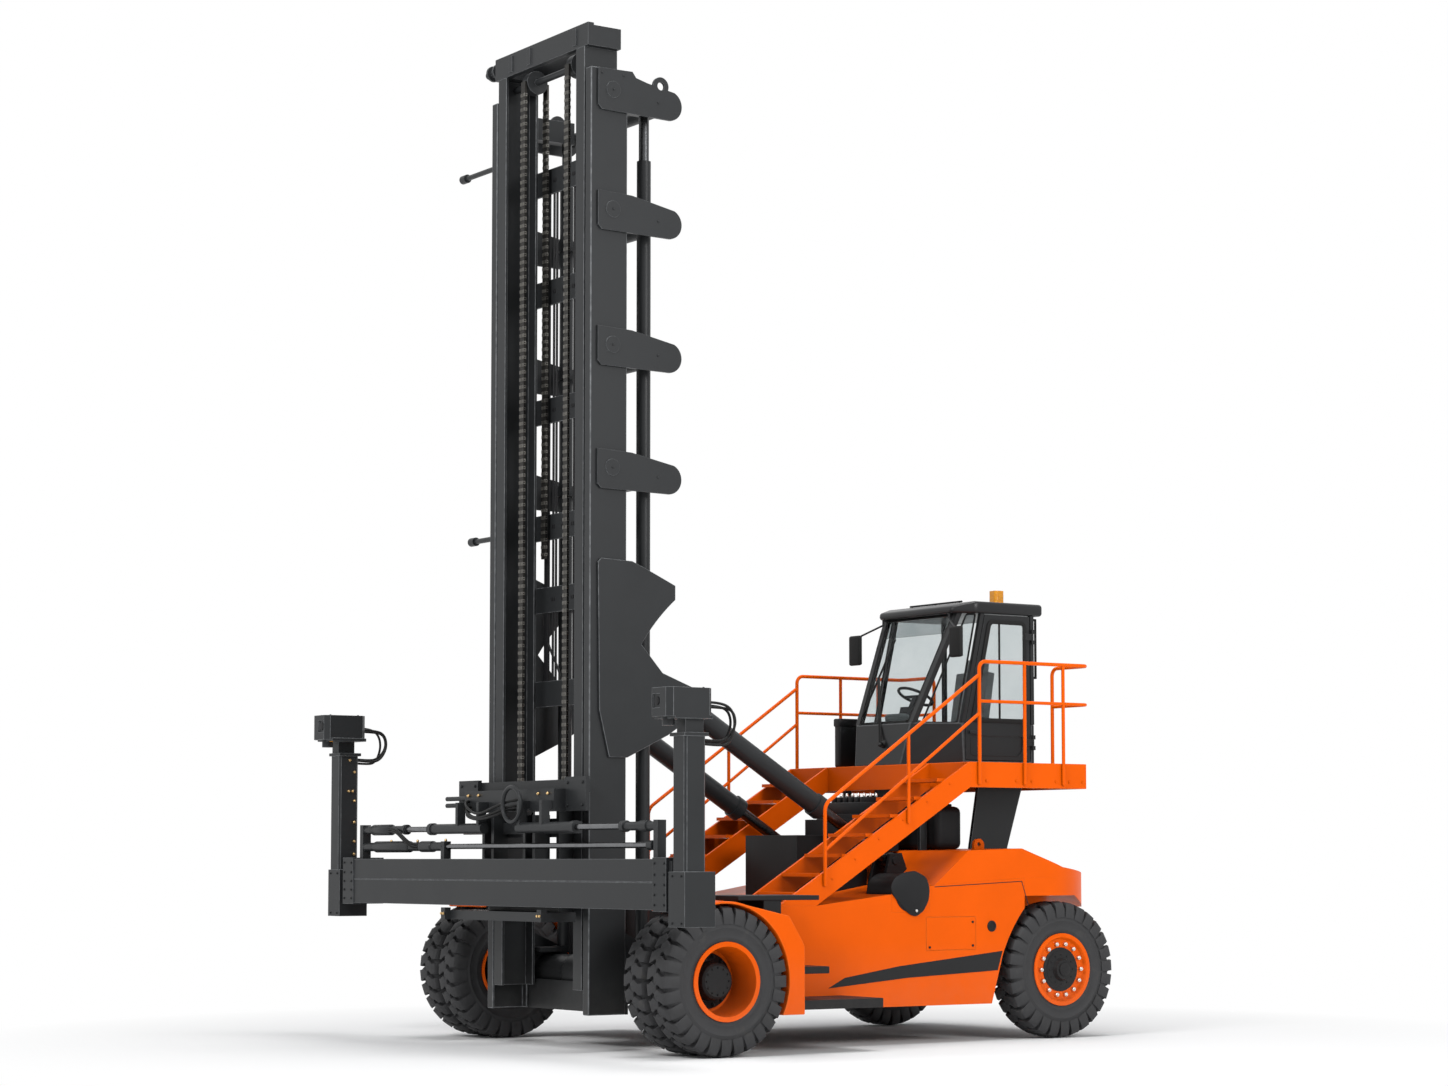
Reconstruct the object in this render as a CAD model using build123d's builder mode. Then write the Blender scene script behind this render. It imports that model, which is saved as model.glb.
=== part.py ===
from build123d import *
import math
import os

# Main sizes in millimetres; +X is the machine's left, it faces -Y, Z = 0 is the ground
WHEELBASE = 4165
TYRE_DIAMETER = 1250
TYRE_WIDTH = 310
TREAD_LUGS = 16
LUG_DEPTH = 34
LUG_WIDTH = 100
LUG_ROOT = 114
SHOULDER = 30
RIM_DIAMETER = 660
DRIVE_HALF_WIDTH = 2082
TWIN_PITCH = 352
KINGPIN_X = 1130
FRONT_REACH = 1230
REAR_REACH = 4850
BODY_HALF_WIDTH = 1400
FRAME_HALF_WIDTH = 430
TYRE_OVERHANG = 24
BODY_BOTTOM = 335
FENDER_GAP = 17
MAST_HALF_WIDTH = 854
MAST_FRONT = -587
MAST_DEPTH = 372
MAST_BOTTOM = 313
MAST_TOP = 8470
MAST_RAISE = 190
HEAD_TOP = 8870
HEAD_HEIGHT = 200
TIE_HEIGHTS = [8250, 7200, 6020, 4955]
CROSSBAR_HEIGHTS = [7720, 6710, 5640, 4590, 3940, 3100]
LIFT_CYLINDER_X = 650
LIFT_CYLINDER_Y = 85
LIFT_BARREL_RADIUS = 62
LIFT_ROD_RADIUS = 45
BARREL_TOP = 7750
TILT_X = 640
TILT_MAST_PIN = (500, 3000)
TILT_CHASSIS_PIN = (2750, 1620)
TILT_BARREL_RADIUS = 92
TILT_ROD_RADIUS = 50
PIN_RADIUS = 45
BEAM_FRONT = -1040
BEAM_DEPTH = 300
BEAM_BOTTOM = 1230
BEAM_HEIGHT = 405
BEAM_HALF_LENGTH = 2680
LEG_OUTER_X = 3030
LEG_WIDTH = 185
LEG_TOP = 2750
BOX_HEIGHT = 230
STAIR_WIDTH = 590
TREADS = [(1310, 1345), (1570, 1510), (1820, 1680), (2080, 1860), (2350, 2030), (2620, 2190), (2880, 2355)]
PLATFORM_FRONT = 3115
PLATFORM_REAR = 4490
PLATFORM_TOP = 2510
RAIL_TOP = 3420
RAIL_RADIUS = 17
CAB_HALF_WIDTH = 680
CAB_REAR = 4470
CAB_WAIST = 2900
CAB_EAVES = 3930
ROOF_TOP = 4045
HOOD_LINE = [(2700, 1400), (3090, 1710), (3710, 1730), (4210, 1560), (REAR_REACH, 1480)]
AIR_CLEANER_X = 960
AIR_CLEANER_Y = 2430
AIR_CLEANER_Z = 1335
AIR_CLEANER_RADIUS = 172
FIT = 0.3
EYE_PLAY = 3.5

# Derived places
AXLE_Z = TYRE_DIAMETER / 2
FRONT_AXLE_Y = (FRONT_REACH - REAR_REACH) / 2
STEER_AXLE_Y = FRONT_AXLE_Y + WHEELBASE
AXLE_TUBE_RADIUS = 165
DIFFERENTIAL_RADIUS = 190
SPINDLE_RADIUS = 120
RIM_SEAT = RIM_DIAMETER / 2 - 28
RIM_INSET = 16
OUTER_TYRE_X = DRIVE_HALF_WIDTH - TYRE_WIDTH / 2
INNER_TYRE_X = OUTER_TYRE_X - TWIN_PITCH
STEER_HALF_WIDTH = BODY_HALF_WIDTH + TYRE_OVERHANG
STEER_TYRE_X = STEER_HALF_WIDTH - TYRE_WIDTH / 2
MAST_REAR = MAST_FRONT + MAST_DEPTH
RAIL_WEB = 30
RAIL_FLANGE = 25
RAIL_REACH = 94
INNER_HALF_WIDTH = MAST_HALF_WIDTH - RAIL_REACH - 20
INNER_REACH = 140
INNER_BOTTOM = MAST_BOTTOM + MAST_RAISE + 17
INNER_TOP = HEAD_TOP - HEAD_HEIGHT
PLATE = 25
STRINGER_INSIDE = BODY_HALF_WIDTH - STAIR_WIDTH
BEAM_REAR = BEAM_FRONT + BEAM_DEPTH
BEAM_TOP = BEAM_BOTTOM + BEAM_HEIGHT
BEAM_WALL = 16
CELL_DEPTH = (BEAM_DEPTH - 3 * BEAM_WALL) / 2
CHAIN_X = 375
SHEAVE_RADIUS = 105
SHEAVE_Y = -420
SHEAVE_Z = 8590
SIDES = {"left": 1, "right": -1}


def behind(distance):
    """Row Y of a place this far behind the front axle."""
    return FRONT_AXLE_Y + distance


def slab(xs, ys, zs, mode=Mode.ADD):
    """Box between X, Y (behind the front axle) and Z limits."""
    centre = [(a + b) / 2 for a, b in (xs, ys, zs)]
    with Locations((centre[0], behind(centre[1]), centre[2])):
        Box(abs(xs[1] - xs[0]), abs(ys[1] - ys[0]), abs(zs[1] - zs[0]), mode=mode)


def side_profile(points, x0, x1, mode=Mode.ADD):
    """Outline in Y (behind the front axle) and Z, drawn out from X = x0 to x1; a third value marks an arc's middle."""
    places = [((behind(p[0]), p[1]), len(p) == 3) for p in points]
    with BuildSketch(Plane.YZ.offset(min(x0, x1))) as outline:
        with BuildLine():
            for i, (place, bent) in enumerate(places):
                end, through = places[(i + 1) % len(places)]
                if through:
                    ThreePointArc(place, end, places[(i + 2) % len(places)][0])
                elif not bent:
                    Line(place, end)
        make_face()
    extrude(outline.sketch, amount=abs(x1 - x0), mode=mode)


def plan_profile(points, z0, z1, mode=Mode.ADD):
    """Outline in X and Y (behind the front axle), drawn up from Z = z0 to z1."""
    with BuildSketch(Plane.XY.offset(z0)) as outline:
        with BuildLine():
            Polyline(*[(x, behind(y)) for x, y in points], close=True)
        make_face()
    extrude(outline.sketch, amount=z1 - z0, mode=mode)


def bar(start, end, radius, mode=Mode.ADD):
    """Round bar between two places given as X, Y behind the front axle, Z."""
    a = Vector(start[0], behind(start[1]), start[2])
    b = Vector(end[0], behind(end[1]), end[2])
    with BuildSketch(Plane(origin=a, z_dir=b - a)) as section:
        Circle(radius)
    extrude(section.sketch, amount=(b - a).length, mode=mode)


def tube(points, radius, bend):
    """Bent round tube through places given as X, Y behind the front axle, Z."""
    places = [Vector(x, behind(y), z) for x, y, z in points]
    with BuildLine() as path:
        FilletPolyline(*places, radius=bend)
    with BuildSketch(Plane(origin=places[0], z_dir=places[1] - places[0])) as section:
        Circle(radius)
    sweep(section.sketch, path=path.line)


def sheet(corners, thickness):
    """Flat pane through its corners (X, Y behind the front axle, Z), thickened inwards."""
    places = [Vector(x, behind(y), z) for x, y, z in corners]
    normal = (places[1] - places[0]).cross(places[2] - places[0]).normalized()
    extrude(Face(Wire.make_polygon(places)), amount=thickness, dir=normal)


def on_line(line, y):
    """Height of a polyline of (Y, Z) places at Y."""
    for (y0, z0), (y1, z1) in zip(line, line[1:]):
        if y0 <= y <= y1:
            return z0 + (z1 - z0) * (y - y0) / (y1 - y0)
    return line[-1][1]


def trimmed(xs, ys, cut):
    """Rectangle in X and Y with its corners cut off."""
    (x0, x1), (y0, y1) = sorted(xs), sorted(ys)
    return [(x0 + cut, y0), (x1 - cut, y0), (x1, y0 + cut), (x1, y1 - cut), (x1 - cut, y1), (x0 + cut, y1),
            (x0, y1 - cut), (x0, y0 + cut)]


def fit_tyre(x, axle_y):
    """Tyre turned onto an axle along X."""
    with Locations(Location((x, axle_y, AXLE_Z), (0, 90, 0))):
        add(tyre.part)


def ring(axle_y, profile, mode=Mode.ADD):
    """Turned shape about an axle along X from (X, radius) places."""
    with BuildSketch(Plane(origin=(0, axle_y, AXLE_Z), x_dir=(1, 0, 0), z_dir=(0, -1, 0))) as section:
        with BuildLine():
            Polyline(*profile, close=True)
        make_face()
    revolve(section.sketch, axis=Axis((0, axle_y, AXLE_Z), (1, 0, 0)), mode=mode)


def save(piece, name):
    piece.label = name
    export_step(piece, f"parts/{name}.step")


os.makedirs("parts", exist_ok=True)

# One tyre about Z: two rows of lugs, half a step apart, on a casing in flats
HALF_TYRE = TYRE_WIDTH / 2
CASING_RADIUS = TYRE_DIAMETER / 2 - LUG_DEPTH
LUG_CORNERS = [(CASING_RADIUS, -LUG_ROOT / 2), (TYRE_DIAMETER / 2, -LUG_WIDTH / 2),
               (TYRE_DIAMETER / 2, LUG_WIDTH / 2), (CASING_RADIUS, LUG_ROOT / 2)]
with BuildPart() as tyre:
    for side, turn in ((1, 0), (-1, 0.5)):
        steps = [2 * math.pi * (i + turn) / TREAD_LUGS for i in range(TREAD_LUGS)]
        with BuildSketch() as row:
            with BuildLine():
                Polyline(*[(r * math.cos(a) - t * math.sin(a), r * math.sin(a) + t * math.cos(a))
                           for a in steps for r, t in LUG_CORNERS], close=True)
            make_face()
        extrude(row.sketch, amount=side * (HALF_TYRE - SHOULDER))
        with BuildSketch(Plane(origin=(0, 0, side * (HALF_TYRE - SHOULDER)), z_dir=(0, 0, side))) as wall:
            RegularPolygon(CASING_RADIUS - 6, TREAD_LUGS, major_radius=False)
        extrude(wall.sketch, amount=SHOULDER, taper=60)
    for depth, radius in ((HALF_TYRE, RIM_SEAT), (RIM_INSET, RIM_DIAMETER / 2 + 2)):
        for side in SIDES.values():
            with BuildSketch(Plane(origin=(0, 0, side * HALF_TYRE), z_dir=(0, 0, -side))) as recess:
                RegularPolygon(radius, 16, major_radius=False)
            extrude(recess.sketch, amount=depth, mode=Mode.SUBTRACT)

# Drive wheels: twin tyres on one rim barrel, dished deep, with a black hub
for side, s in SIDES.items():
    with BuildPart() as front_tyres:
        for x in (OUTER_TYRE_X, INNER_TYRE_X):
            fit_tyre(s * x, FRONT_AXLE_Y)
    save(front_tyres.part, f"front_tyres_{side}")

    rim_out = OUTER_TYRE_X + TYRE_WIDTH / 2 - RIM_INSET
    rim_in = INNER_TYRE_X - TYRE_WIDTH / 2 + RIM_INSET
    disc_x = (OUTER_TYRE_X + INNER_TYRE_X) / 2 - 15
    edge = RIM_DIAMETER / 2
    with BuildPart() as front_rim:
        ring(FRONT_AXLE_Y, [(s * x, r) for x, r in (
            (rim_in, RIM_SEAT - 22), (rim_in, RIM_SEAT), (rim_out, RIM_SEAT), (rim_out, edge),
            (rim_out + 12, edge), (rim_out + 12, RIM_SEAT - 12), (disc_x + 30, RIM_SEAT - 40),
            (disc_x + 30, 205), (disc_x, 205), (disc_x, RIM_SEAT - 22))])
    save(front_rim.part, f"front_rim_{side}")

    with BuildPart() as front_hub:
        ring(FRONT_AXLE_Y, [(s * x, r) for x, r in (
            (rim_in - 15, SPINDLE_RADIUS + FIT), (rim_in - 15, 185), (disc_x, 185), (disc_x, 205),
            (disc_x + 30, 205), (disc_x + 30, 230), (disc_x + 50, 230), (disc_x + 70, 165), (disc_x + 190, 150),
            (disc_x + 205, 130), (disc_x + 205, 0), (disc_x + 20, 0), (disc_x + 20, SPINDLE_RADIUS + FIT))])
    save(front_hub.part, f"front_hub_{side}")

# Drive axle: one turned casing with brake housings, wheel spindles and the differential's cover behind
with BuildPart() as drive_axle:
    hub_end = INNER_TYRE_X - TYRE_WIDTH / 2
    tip_x = (OUTER_TYRE_X + INNER_TYRE_X) / 2
    half = [(230, DIFFERENTIAL_RADIUS), (300, AXLE_TUBE_RADIUS), (1160, AXLE_TUBE_RADIUS), (1160, 240),
            (hub_end - 30, 240), (hub_end - 30, SPINDLE_RADIUS), (tip_x, SPINDLE_RADIUS), (tip_x, 0)]
    ring(FRONT_AXLE_Y, [(-x, r) for x, r in reversed(half)] + half)
    with BuildSketch(Plane(origin=(0, FRONT_AXLE_Y, AXLE_Z), z_dir=(0, 1, 0))) as cover:
        Circle(DIFFERENTIAL_RADIUS - 20)
    extrude(cover.sketch, amount=DIFFERENTIAL_RADIUS + 110, taper=8)
save(drive_axle.part, "drive_axle")

# Steered wheels, each turning on a knuckle with a kingpin
for side, s in SIDES.items():
    with BuildPart() as rear_tyre:
        fit_tyre(s * STEER_TYRE_X, STEER_AXLE_Y)
    save(rear_tyre.part, f"rear_tyre_{side}")

    face = STEER_TYRE_X + TYRE_WIDTH / 2 - RIM_INSET
    back = STEER_TYRE_X - TYRE_WIDTH / 2 + RIM_INSET
    with BuildPart() as rear_rim:
        ring(STEER_AXLE_Y, [(s * x, r) for x, r in (
            (back, RIM_SEAT - 18), (back, RIM_SEAT), (face, RIM_SEAT), (face, RIM_DIAMETER / 2),
            (face + 10, RIM_DIAMETER / 2), (face + 10, RIM_SEAT - 8), (face - 25, RIM_SEAT - 25),
            (face - 25, 130), (face - 45, 130), (face - 45, RIM_SEAT - 18))])
    save(rear_rim.part, f"rear_rim_{side}")

    with BuildPart() as rear_hub:
        ring(STEER_AXLE_Y, [(s * x, r) for x, r in (
            (face - 170, 60 + FIT), (face - 170, 150), (face - 45, 150), (face - 45, 130), (face - 25, 130),
            (face - 25, 165), (face - 10, 165), (face, 105), (face + 40, 90), (face + 40, 0), (face - 20, 0),
            (face - 20, 60 + FIT))])
    save(rear_hub.part, f"rear_hub_{side}")

    with BuildPart() as knuckle:
        bar((s * KINGPIN_X, WHEELBASE, AXLE_Z - 200), (s * KINGPIN_X, WHEELBASE, AXLE_Z + 200), 42)
        slab((s * (KINGPIN_X - 65), s * (KINGPIN_X + 65)), (WHEELBASE - 85, WHEELBASE + 85),
             (AXLE_Z - 139, AXLE_Z + 139))
        bar((s * KINGPIN_X, WHEELBASE, AXLE_Z), (s * (face - 30), WHEELBASE, AXLE_Z), 60)
    save(knuckle.part, f"knuckle_{side}")

# Steer axle beam with a fork at each kingpin
with BuildPart() as steer_axle:
    slab((-960, 960), (WHEELBASE - 95, WHEELBASE + 95), (AXLE_Z - 110, AXLE_Z + 110))
    for s in SIDES.values():
        slab((s * 860, s * 960), (WHEELBASE - 95, WHEELBASE + 95), (AXLE_Z - 200, AXLE_Z + 200))
        for z in (AXLE_Z - 200, AXLE_Z + 140):
            slab((s * 900, s * (KINGPIN_X + 70)), (WHEELBASE - 75, WHEELBASE + 75), (z, z + 60))
        bar((s * KINGPIN_X, WHEELBASE, AXLE_Z - 230), (s * KINGPIN_X, WHEELBASE, AXLE_Z + 230), 42 + FIT,
            mode=Mode.SUBTRACT)
    slab((-200, 200), (WHEELBASE - 70, WHEELBASE + 70), (AXLE_Z + 110, AXLE_Z + 175))
save(steer_axle.part, "steer_axle")

# Chassis frame: two long plates resting on the drive axle, deck and cross plates
FRAME_TOP = 1200
FRAME_REAR = WHEELBASE - 765
with BuildPart() as chassis_frame:
    for s in SIDES.values():
        slab((s * (FRAME_HALF_WIDTH - 30), s * FRAME_HALF_WIDTH), (0, FRAME_REAR), (450, FRAME_TOP))
    slab((-FRAME_HALF_WIDTH, FRAME_HALF_WIDTH), (200, FRAME_REAR), (FRAME_TOP, FRAME_TOP + 25))
    for y in (320, 1400, FRAME_REAR - 30):
        slab((-FRAME_HALF_WIDTH, FRAME_HALF_WIDTH), (y, y + 30), (450, FRAME_TOP))
    ring(FRONT_AXLE_Y, [(-900, 0), (-900, AXLE_TUBE_RADIUS), (900, AXLE_TUBE_RADIUS), (900, 0)], mode=Mode.SUBTRACT)
save(chassis_frame.part, "chassis_frame")

# Side tanks with the skin reaching over the steered wheel's arch
SEAM = [(800, 1230), (1400, 1230), (2210, 1320), (2700, 1400), (3710, 1462), (REAR_REACH, 1480)]
with BuildPart() as side_tanks:
    for s in SIDES.values():
        top = [(y, on_line(SEAM, y)) for y in (FRAME_REAR, 2700, 2210, 1400, 800)]
        side_profile([(800, BODY_BOTTOM), (3330, BODY_BOTTOM), (FRAME_REAR, 600)] + top,
                     s * FRAME_HALF_WIDTH, s * (BODY_HALF_WIDTH - 40))
        arch = [(WHEELBASE - 815, BODY_BOTTOM), (WHEELBASE - 685, 770), (WHEELBASE - 568, 1000, 0), (WHEELBASE - 425, 1190)]
        skin = [(y, on_line(SEAM, y)) for y in (WHEELBASE - 425, 3710, 2700, 2210, 1400, 800)]
        side_profile([(800, BODY_BOTTOM)] + arch + skin, s * (BODY_HALF_WIDTH - 40), s * BODY_HALF_WIDTH)
        bar((s * (BODY_HALF_WIDTH - 14), 3350, 1030), (s * (BODY_HALF_WIDTH + 5), 3350, 1030), 45, mode=Mode.SUBTRACT)
        for ys, zs in (((2600, 3170), (820, 826)), ((2600, 3170), (1114, 1120)), ((2600, 2606), (820, 1120)),
                       ((3164, 3170), (820, 1120))):
            slab((s * (BODY_HALF_WIDTH - 6), s * (BODY_HALF_WIDTH + 5)), ys, zs, mode=Mode.SUBTRACT)
    slab((AIR_CLEANER_X, BODY_HALF_WIDTH + 10), (AIR_CLEANER_Y - 210, AIR_CLEANER_Y + 210),
         (AIR_CLEANER_Z - AIR_CLEANER_RADIUS, 1600), mode=Mode.SUBTRACT)
save(side_tanks.part, "side_tanks")

# Front fenders around the twin tyres
def fender_at(angle, radius):
    return behind(radius * math.cos(math.radians(angle))), AXLE_Z + radius * math.sin(math.radians(angle))


with BuildPart() as front_fenders:
    inner = TYRE_DIAMETER / 2 + FENDER_GAP
    outer = inner + 20
    low = -90 + math.degrees(math.acos((AXLE_Z - BODY_BOTTOM) / inner))
    for s in SIDES.values():
        with BuildSketch(Plane.YZ.offset(min(s * BODY_HALF_WIDTH, s * (DRIVE_HALF_WIDTH - 20)))):
            with BuildLine():
                ThreePointArc(fender_at(low, inner), fender_at(55, inner), fender_at(118, inner))
                Line(fender_at(118, inner), fender_at(118, outer))
                ThreePointArc(fender_at(118, outer), fender_at(95, outer), fender_at(72, outer))
                Polyline(fender_at(72, outer), (behind(640), 1160), (behind(770), 960), (behind(800), 900),
                         (behind(800), BODY_BOTTOM), fender_at(low, inner))
            make_face()
        extrude(amount=DRIVE_HALF_WIDTH - 20 - BODY_HALF_WIDTH)
save(front_fenders.part, "front_fenders")

# Counterweight over and behind the steered wheels, round at the rear corners
def rear_plan(z0, z1, front):
    r = 800
    with BuildSketch(Plane.XY.offset(z0)) as outline:
        with BuildLine():
            w, y0, y1 = BODY_HALF_WIDTH, behind(front), behind(REAR_REACH)
            k = r * (1 - math.sqrt(0.5))
            Polyline((-w, y1 - r), (-w, y0), (w, y0), (w, y1 - r))
            ThreePointArc((w, y1 - r), (w - k, y1 - k), (w - r, y1))
            Line((w - r, y1), (-w + r, y1))
            ThreePointArc((-w + r, y1), (-w + k, y1 - k), (-w, y1 - r))
        make_face()
    extrude(outline.sketch, amount=z1 - z0, mode=Mode.INTERSECT)


with BuildPart() as counterweight:
    w = BODY_HALF_WIDTH
    side_profile([(FRAME_REAR, 1300), (4400, 1300), (4650, 1190), (REAR_REACH, 1190), (REAR_REACH, 1480),
                  (3710, 1462), (FRAME_REAR, on_line(SEAM, FRAME_REAR))], -w, w)
    rear_plan(1100, 1600, FRAME_REAR)
    for s in SIDES.values():
        slab((s * (w - 40), s * w), (FRAME_REAR, WHEELBASE - 425), (1250, 1500), mode=Mode.SUBTRACT)
    slab((-FRAME_HALF_WIDTH, FRAME_HALF_WIDTH), (FRAME_REAR, 4780), (470, 1300))
    slab((-FRAME_HALF_WIDTH, FRAME_HALF_WIDTH), (WHEELBASE - 125, WHEELBASE + 125), (470, AXLE_Z + 175),
         mode=Mode.SUBTRACT)
    slab((-110, 110), (4700, REAR_REACH), (700, 740))
    slab((-110, 110), (4700, REAR_REACH), (840, 880))
    bar((0, 4815, 690), (0, 4815, 890), 22, mode=Mode.SUBTRACT)
    for z in range(1240, 1450, 50):
        slab((-380, 380), (REAR_REACH - 35, REAR_REACH + 5), (z, z + 22), mode=Mode.SUBTRACT)
save(counterweight.part, "counterweight")

# Engine hood, with lifting eyes
with BuildPart() as engine_hood:
    w = BODY_HALF_WIDTH
    side_profile(HOOD_LINE + [(3710, 1462)], -w, w)
    rear_plan(1300, 1900, 2700)
    for s in SIDES.values():
        x0, x1 = sorted((s * 1000, s * 1030))
        slab((x0, x1), (3450, 3570), (1700, 1760))
        bar((x0, 3510, 1760), (x1, 3510, 1760), 60)
        bar((x0 - 10, 3510, 1768), (x1 + 10, 3510, 1768), 20, mode=Mode.SUBTRACT)
save(engine_hood.part, "engine_hood")

# Black steps between fender and tank
with BuildPart() as access_steps:
    for s in SIDES.values():
        w = BODY_HALF_WIDTH
        slab((s * w, s * (w + 600)), (830, 1670), (370, 450))
        slab((s * w, s * (w + 600)), (800, 1100), (670, 730))
        slope = [(outer * math.cos(math.radians(72)), AXLE_Z + outer * math.sin(math.radians(72))), (640, 1160)]
        side_profile([(y, on_line(slope, y)) for y in (420, 600)] + [(600, 1290), (420, 1290)], s * w, s * (w + 600))
        slab((s * w, s * (w + 620)), (150, 980), (1290, 1330))
save(access_steps.part, "access_steps")

# Machinery on the deck: black housing under the platform, tilt lugs, air cleaner
with BuildPart() as deck_gear:
    slab((-FRAME_HALF_WIDTH + 20, FRAME_HALF_WIDTH - 20), (1900, 2690), (FRAME_TOP + 25, 1850))
    slab((-380, 380), (2690, 3080), (1705, 2050))
    slab((-300, 300), (2500, 2690), (1850, 2000))
    y, z = TILT_CHASSIS_PIN
    for s in SIDES.values():
        for x in (TILT_X - 125, TILT_X + 85):
            foot = on_line(SEAM, y - 140)
            side_profile([(y - 140, foot), (y - 60, z + 60), (y + 70, z + 70), (y + 130, on_line(HOOD_LINE, y + 130)),
                          (2700, 1400)], s * x, s * (x + 40))
        bar((s * (TILT_X - 140), y, z), (s * (TILT_X + 140), y, z), 40)
save(deck_gear.part, "deck_gear")

with BuildPart() as air_cleaner:
    y, z = AIR_CLEANER_Y, AIR_CLEANER_Z
    bar((AIR_CLEANER_X + 20, y, z), (BODY_HALF_WIDTH + 10, y, z), AIR_CLEANER_RADIUS)
    slab((AIR_CLEANER_X + 60, BODY_HALF_WIDTH - 30), (y - 100, y + 100), (z - AIR_CLEANER_RADIUS, z))
save(air_cleaner.part, "air_cleaner")

# Stairs and their handrails, one flight each side
with BuildPart() as stairs:
    for s in SIDES.values():
        for x in (BODY_HALF_WIDTH, STRINGER_INSIDE):
            side_profile([(1000, 1230), (1400, 1230), (PLATFORM_FRONT, 2280), (PLATFORM_FRONT, PLATFORM_TOP)],
                         s * x, s * (x - 30))
        for y, z in TREADS:
            slab((s * STRINGER_INSIDE, s * (BODY_HALF_WIDTH - 30)), (y - 125, y + 125), (z - 30, z))
save(stairs.part, "stairs")

# Platform with toe boards, its rails, and the pillars that carry it
with BuildPart() as platform:
    w = BODY_HALF_WIDTH
    slab((-w, w), (PLATFORM_FRONT, PLATFORM_REAR), (PLATFORM_TOP - 230, PLATFORM_TOP))
    slab((-w + 25, w - 25), (PLATFORM_FRONT + 25, PLATFORM_REAR - 25), (PLATFORM_TOP - 240, PLATFORM_TOP - 40),
         mode=Mode.SUBTRACT)
save(platform.part, "platform")

with BuildPart() as handrails:
    for s in SIDES.values():
        x = s * (BODY_HALF_WIDTH + RAIL_RADIUS)
        tail = PLATFORM_REAR + RAIL_RADIUS
        tube([(x, 3210, PLATFORM_TOP - 200), (x, 3210, RAIL_TOP), (x, tail, RAIL_TOP), (s * 900, tail, RAIL_TOP),
              (s * 900, tail, PLATFORM_TOP - 200)], RAIL_RADIUS, 70)
        tube([(x, 3210, 3060), (x, tail, 3060), (s * 900, tail, 3060)], RAIL_RADIUS - 2, 70)
        for y in (3740, 4200):
            bar((x, y, PLATFORM_TOP - 200), (x, y, RAIL_TOP), RAIL_RADIUS - 1)
        tube([(x, 1480, 1400), (x, 1480, 2110), (x, 3210, 3299)], RAIL_RADIUS - 0.5, 120)
        bar((x, 1480, 1710), (x, 3210, 2950), RAIL_RADIUS - 2)
        bar((x, 2400, 1950), (x, 2400, 2742), RAIL_RADIUS - 1)
save(handrails.part, "handrails")

with BuildPart() as cab_pillars:
    for s in SIDES.values():
        foot = [(4000, on_line(HOOD_LINE, 4000)), (3710, 1730), (3590, on_line(HOOD_LINE, 3590))]
        side_profile(foot + [(3720, PLATFORM_TOP - 40), (4270, PLATFORM_TOP - 40)], s * 760, s * 800)
        slab((s * 560, s * 600), (3160, 3240), (1740, PLATFORM_TOP - 40))
        side_profile([(3160, on_line(HOOD_LINE, 3160)), (3240, on_line(HOOD_LINE, 3240)), (3240, 1740), (3160, 1740)],
                     s * 560, s * 600)
save(cab_pillars.part, "cab_pillars")

# Cab: tub, posts, roof and panes; its front is a narrow screen between angled quarter panes
SCREEN_BASE = (420, 3190)
SCREEN_TOP = (550, 3630)
QUARTER_BASE_Y = 3600
lean = (QUARTER_BASE_Y - SCREEN_BASE[1]) / (CAB_HALF_WIDTH - SCREEN_BASE[0])
QUARTER_TOP_Y = SCREEN_TOP[1] + (CAB_HALF_WIDTH - SCREEN_TOP[0]) * lean
DOOR_FRONT = QUARTER_BASE_Y + 40
DOOR_REAR = CAB_REAR - 50
CAB_WALL = 40
HINGE_X = CAB_HALF_WIDTH + 14
HINGE_Y = CAB_REAR - 28


def cab_outline(inset):
    w, f = CAB_HALF_WIDTH - inset, SCREEN_BASE
    half = [(f[0] - inset * 0.5, f[1] + inset), (w, QUARTER_BASE_Y + inset * 0.5), (w, CAB_REAR - inset)]
    return half + [(-x, y) for x, y in reversed(half)]


with BuildPart() as cab_tub:
    nose = [(SCREEN_BASE[0] - 70, PLATFORM_FRONT + 5), (CAB_HALF_WIDTH, QUARTER_BASE_Y + 20), (CAB_HALF_WIDTH, CAB_REAR)]
    levels = []
    for z, outline in ((PLATFORM_TOP, nose + [(-x, y) for x, y in reversed(nose)]), (CAB_WAIST, cab_outline(0))):
        with BuildSketch(Plane.XY.offset(z)) as section:
            with BuildLine():
                Polyline(*[(x, behind(y)) for x, y in outline], close=True)
            make_face()
        levels.append(section.sketch)
    loft(levels, ruled=True)
    plan_profile(cab_outline(CAB_WALL), PLATFORM_TOP + 40, CAB_WAIST + 10, mode=Mode.SUBTRACT)
    slab((CAB_HALF_WIDTH - CAB_WALL - 10, CAB_HALF_WIDTH + 10), (DOOR_FRONT, DOOR_REAR + 10),
         (PLATFORM_TOP + 40, CAB_WAIST + 10), mode=Mode.SUBTRACT)
save(cab_tub.part, "cab_tub")


def post(start, end, half_x, half_y, mode=Mode.ADD):
    """Upright post with level ends between two places."""
    ends = []
    for x, y, z in (start, end):
        with BuildSketch(Plane.XY.offset(z)) as section:
            with Locations((x, behind(y))):
                Rectangle(2 * half_x, 2 * half_y)
        ends.append(section.sketch)
    loft(ends, ruled=True, mode=mode)


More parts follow.
